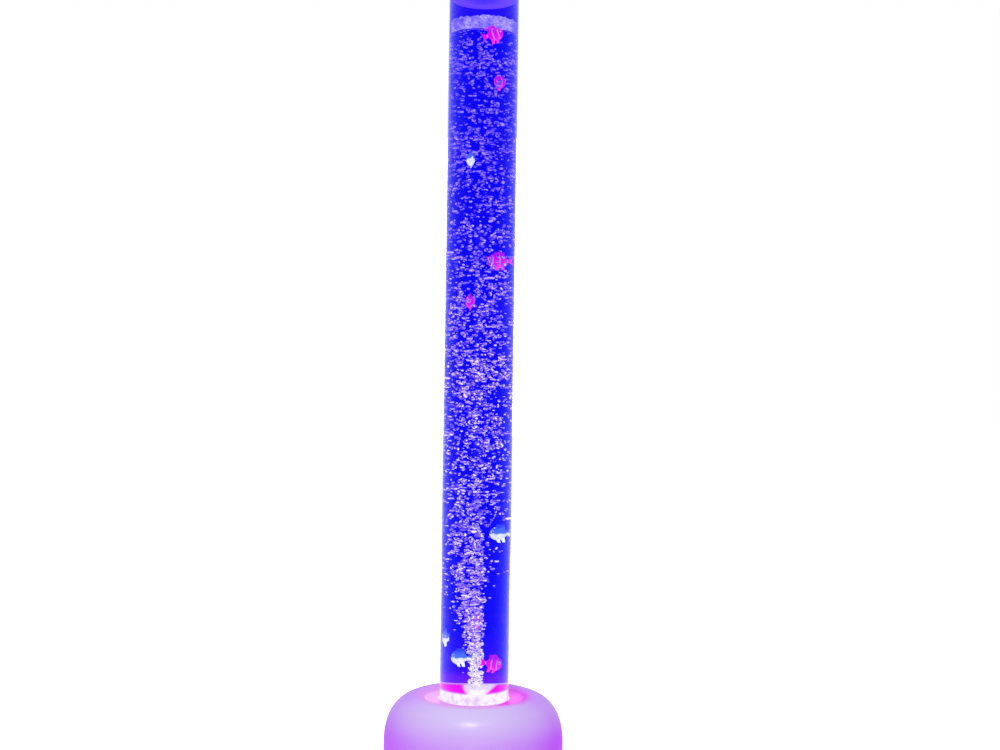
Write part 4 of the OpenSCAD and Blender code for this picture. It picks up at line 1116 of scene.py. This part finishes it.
# %% Smooth copies, then a finish for every part
smooth_copy("base_shell", "shell_smooth", "shell_plastic")
smooth_copy("cap_top", "cap_top_smooth", "cap_plastic")
SPECIAL = {"tank_floor": "tank_floor_glow", "nozzle": "outlet_glow"}
for name, part in frame["nodes"].items():
    slot = part.data.materials[0].name.split(".")[0]
    part.data.materials[0] = FINISH[SPECIAL.get(name, slot)]
print("finished", len(frame["nodes"]), "CAD parts")

# %% [markdown]
# ## The studio
# A pale floor, three broad lamps, and an even white surround. The floor and the
# surround show plain white to the camera, and in glass and gloss, while their light on the
# lamp itself stays gentle. The floor still takes the lamp's shadow.

# %% White surround
def seen_directly(tree):
    """1 for what the camera, a mirror or glass sees, and 0 for light that falls on things."""
    path = add(tree, "LightPath")
    direct = calc(tree, "MAXIMUM", path.outputs["Is Camera Ray"], path.outputs["Is Glossy Ray"])
    return calc(tree, "MAXIMUM", direct, path.outputs["Is Transmission Ray"])


AMBIENT = 0.10
world = bpy.data.worlds.new("white_surround")
bpy.context.scene.world = world
world.use_nodes = True
tree = world.node_tree
strength = calc(tree, "MULTIPLY_ADD", seen_directly(tree), 1 - AMBIENT, AMBIENT)
wire(tree, tree.nodes["Background"], Color=(1, 1, 1), Strength=strength)
print("light on things from the surround:", AMBIENT)

# %% Floor
FLOOR_SIZE = 30.0
tree, shader = new_material("floor")
place, x, y, z = place_xyz(tree)
radius = from_axis(tree, x, y)
level = calc(tree, "MULTIPLY_ADD", span(tree, radius, 0.15, 0.34), 0.28, 0.72)
wire(tree, shader, Base_Color=(0.8, 0.8, 0.8), Roughness=0.9, Specular_IOR_Level=0.0,
     Emission_Color=(1, 1, 1), Emission_Strength=calc(tree, "MULTIPLY", seen_directly(tree), level))
half = FLOOR_SIZE / 2
mesh = bpy.data.meshes.new("floor")
mesh.from_pydata([(-half, -half, 0), (half, -half, 0), (half, half, 0), (-half, half, 0)], [],
                 [(0, 1, 2, 3)])
mesh.materials.append(FINISH["floor"])
floor = show("floor", mesh)
floor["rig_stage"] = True
print("floor:", FLOOR_SIZE, "m wide")


# %% Lamps
def softbox(name, place, aim, size, power):
    """A square area lamp at place that points at aim."""
    light = bpy.data.lights.new(name, "AREA")
    light.size = size
    light.energy = power
    lamp = show(name, light)
    way = np.array(aim, float) - np.array(place, float)
    yaw = math.atan2(way[1], way[0])
    dip = math.atan2(-way[2], math.hypot(way[0], way[1]))
    lamp.matrix_world = (Matrix.Translation(place) @ Matrix.Rotation(yaw, 4, "Z")
                         @ Matrix.Rotation(dip - math.pi / 2, 4, "Y"))


softbox("key", (-0.12, -1.0, 2.1), (0, -0.05, 0.12), 0.42, 38)
softbox("front", (-0.2, -2.6, 0.6), (0, 0, 0.3), 1.0, 7)
softbox("back", (0, 2.6, 0.9), (0, 0, 0.3), 1.0, 35)

bpy.context.scene.view_settings.view_transform = "Standard"

# %% [markdown]
# ## The size of the lamp
# The looks must not make the lamp larger than the CAD says, so both boxes are printed.

# %% Print both boxes
seen_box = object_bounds()
sizes = {"cad": [list(corner) for corner in cad_box], "seen": [list(corner) for corner in seen_box]}
print("boxes:", sizes)
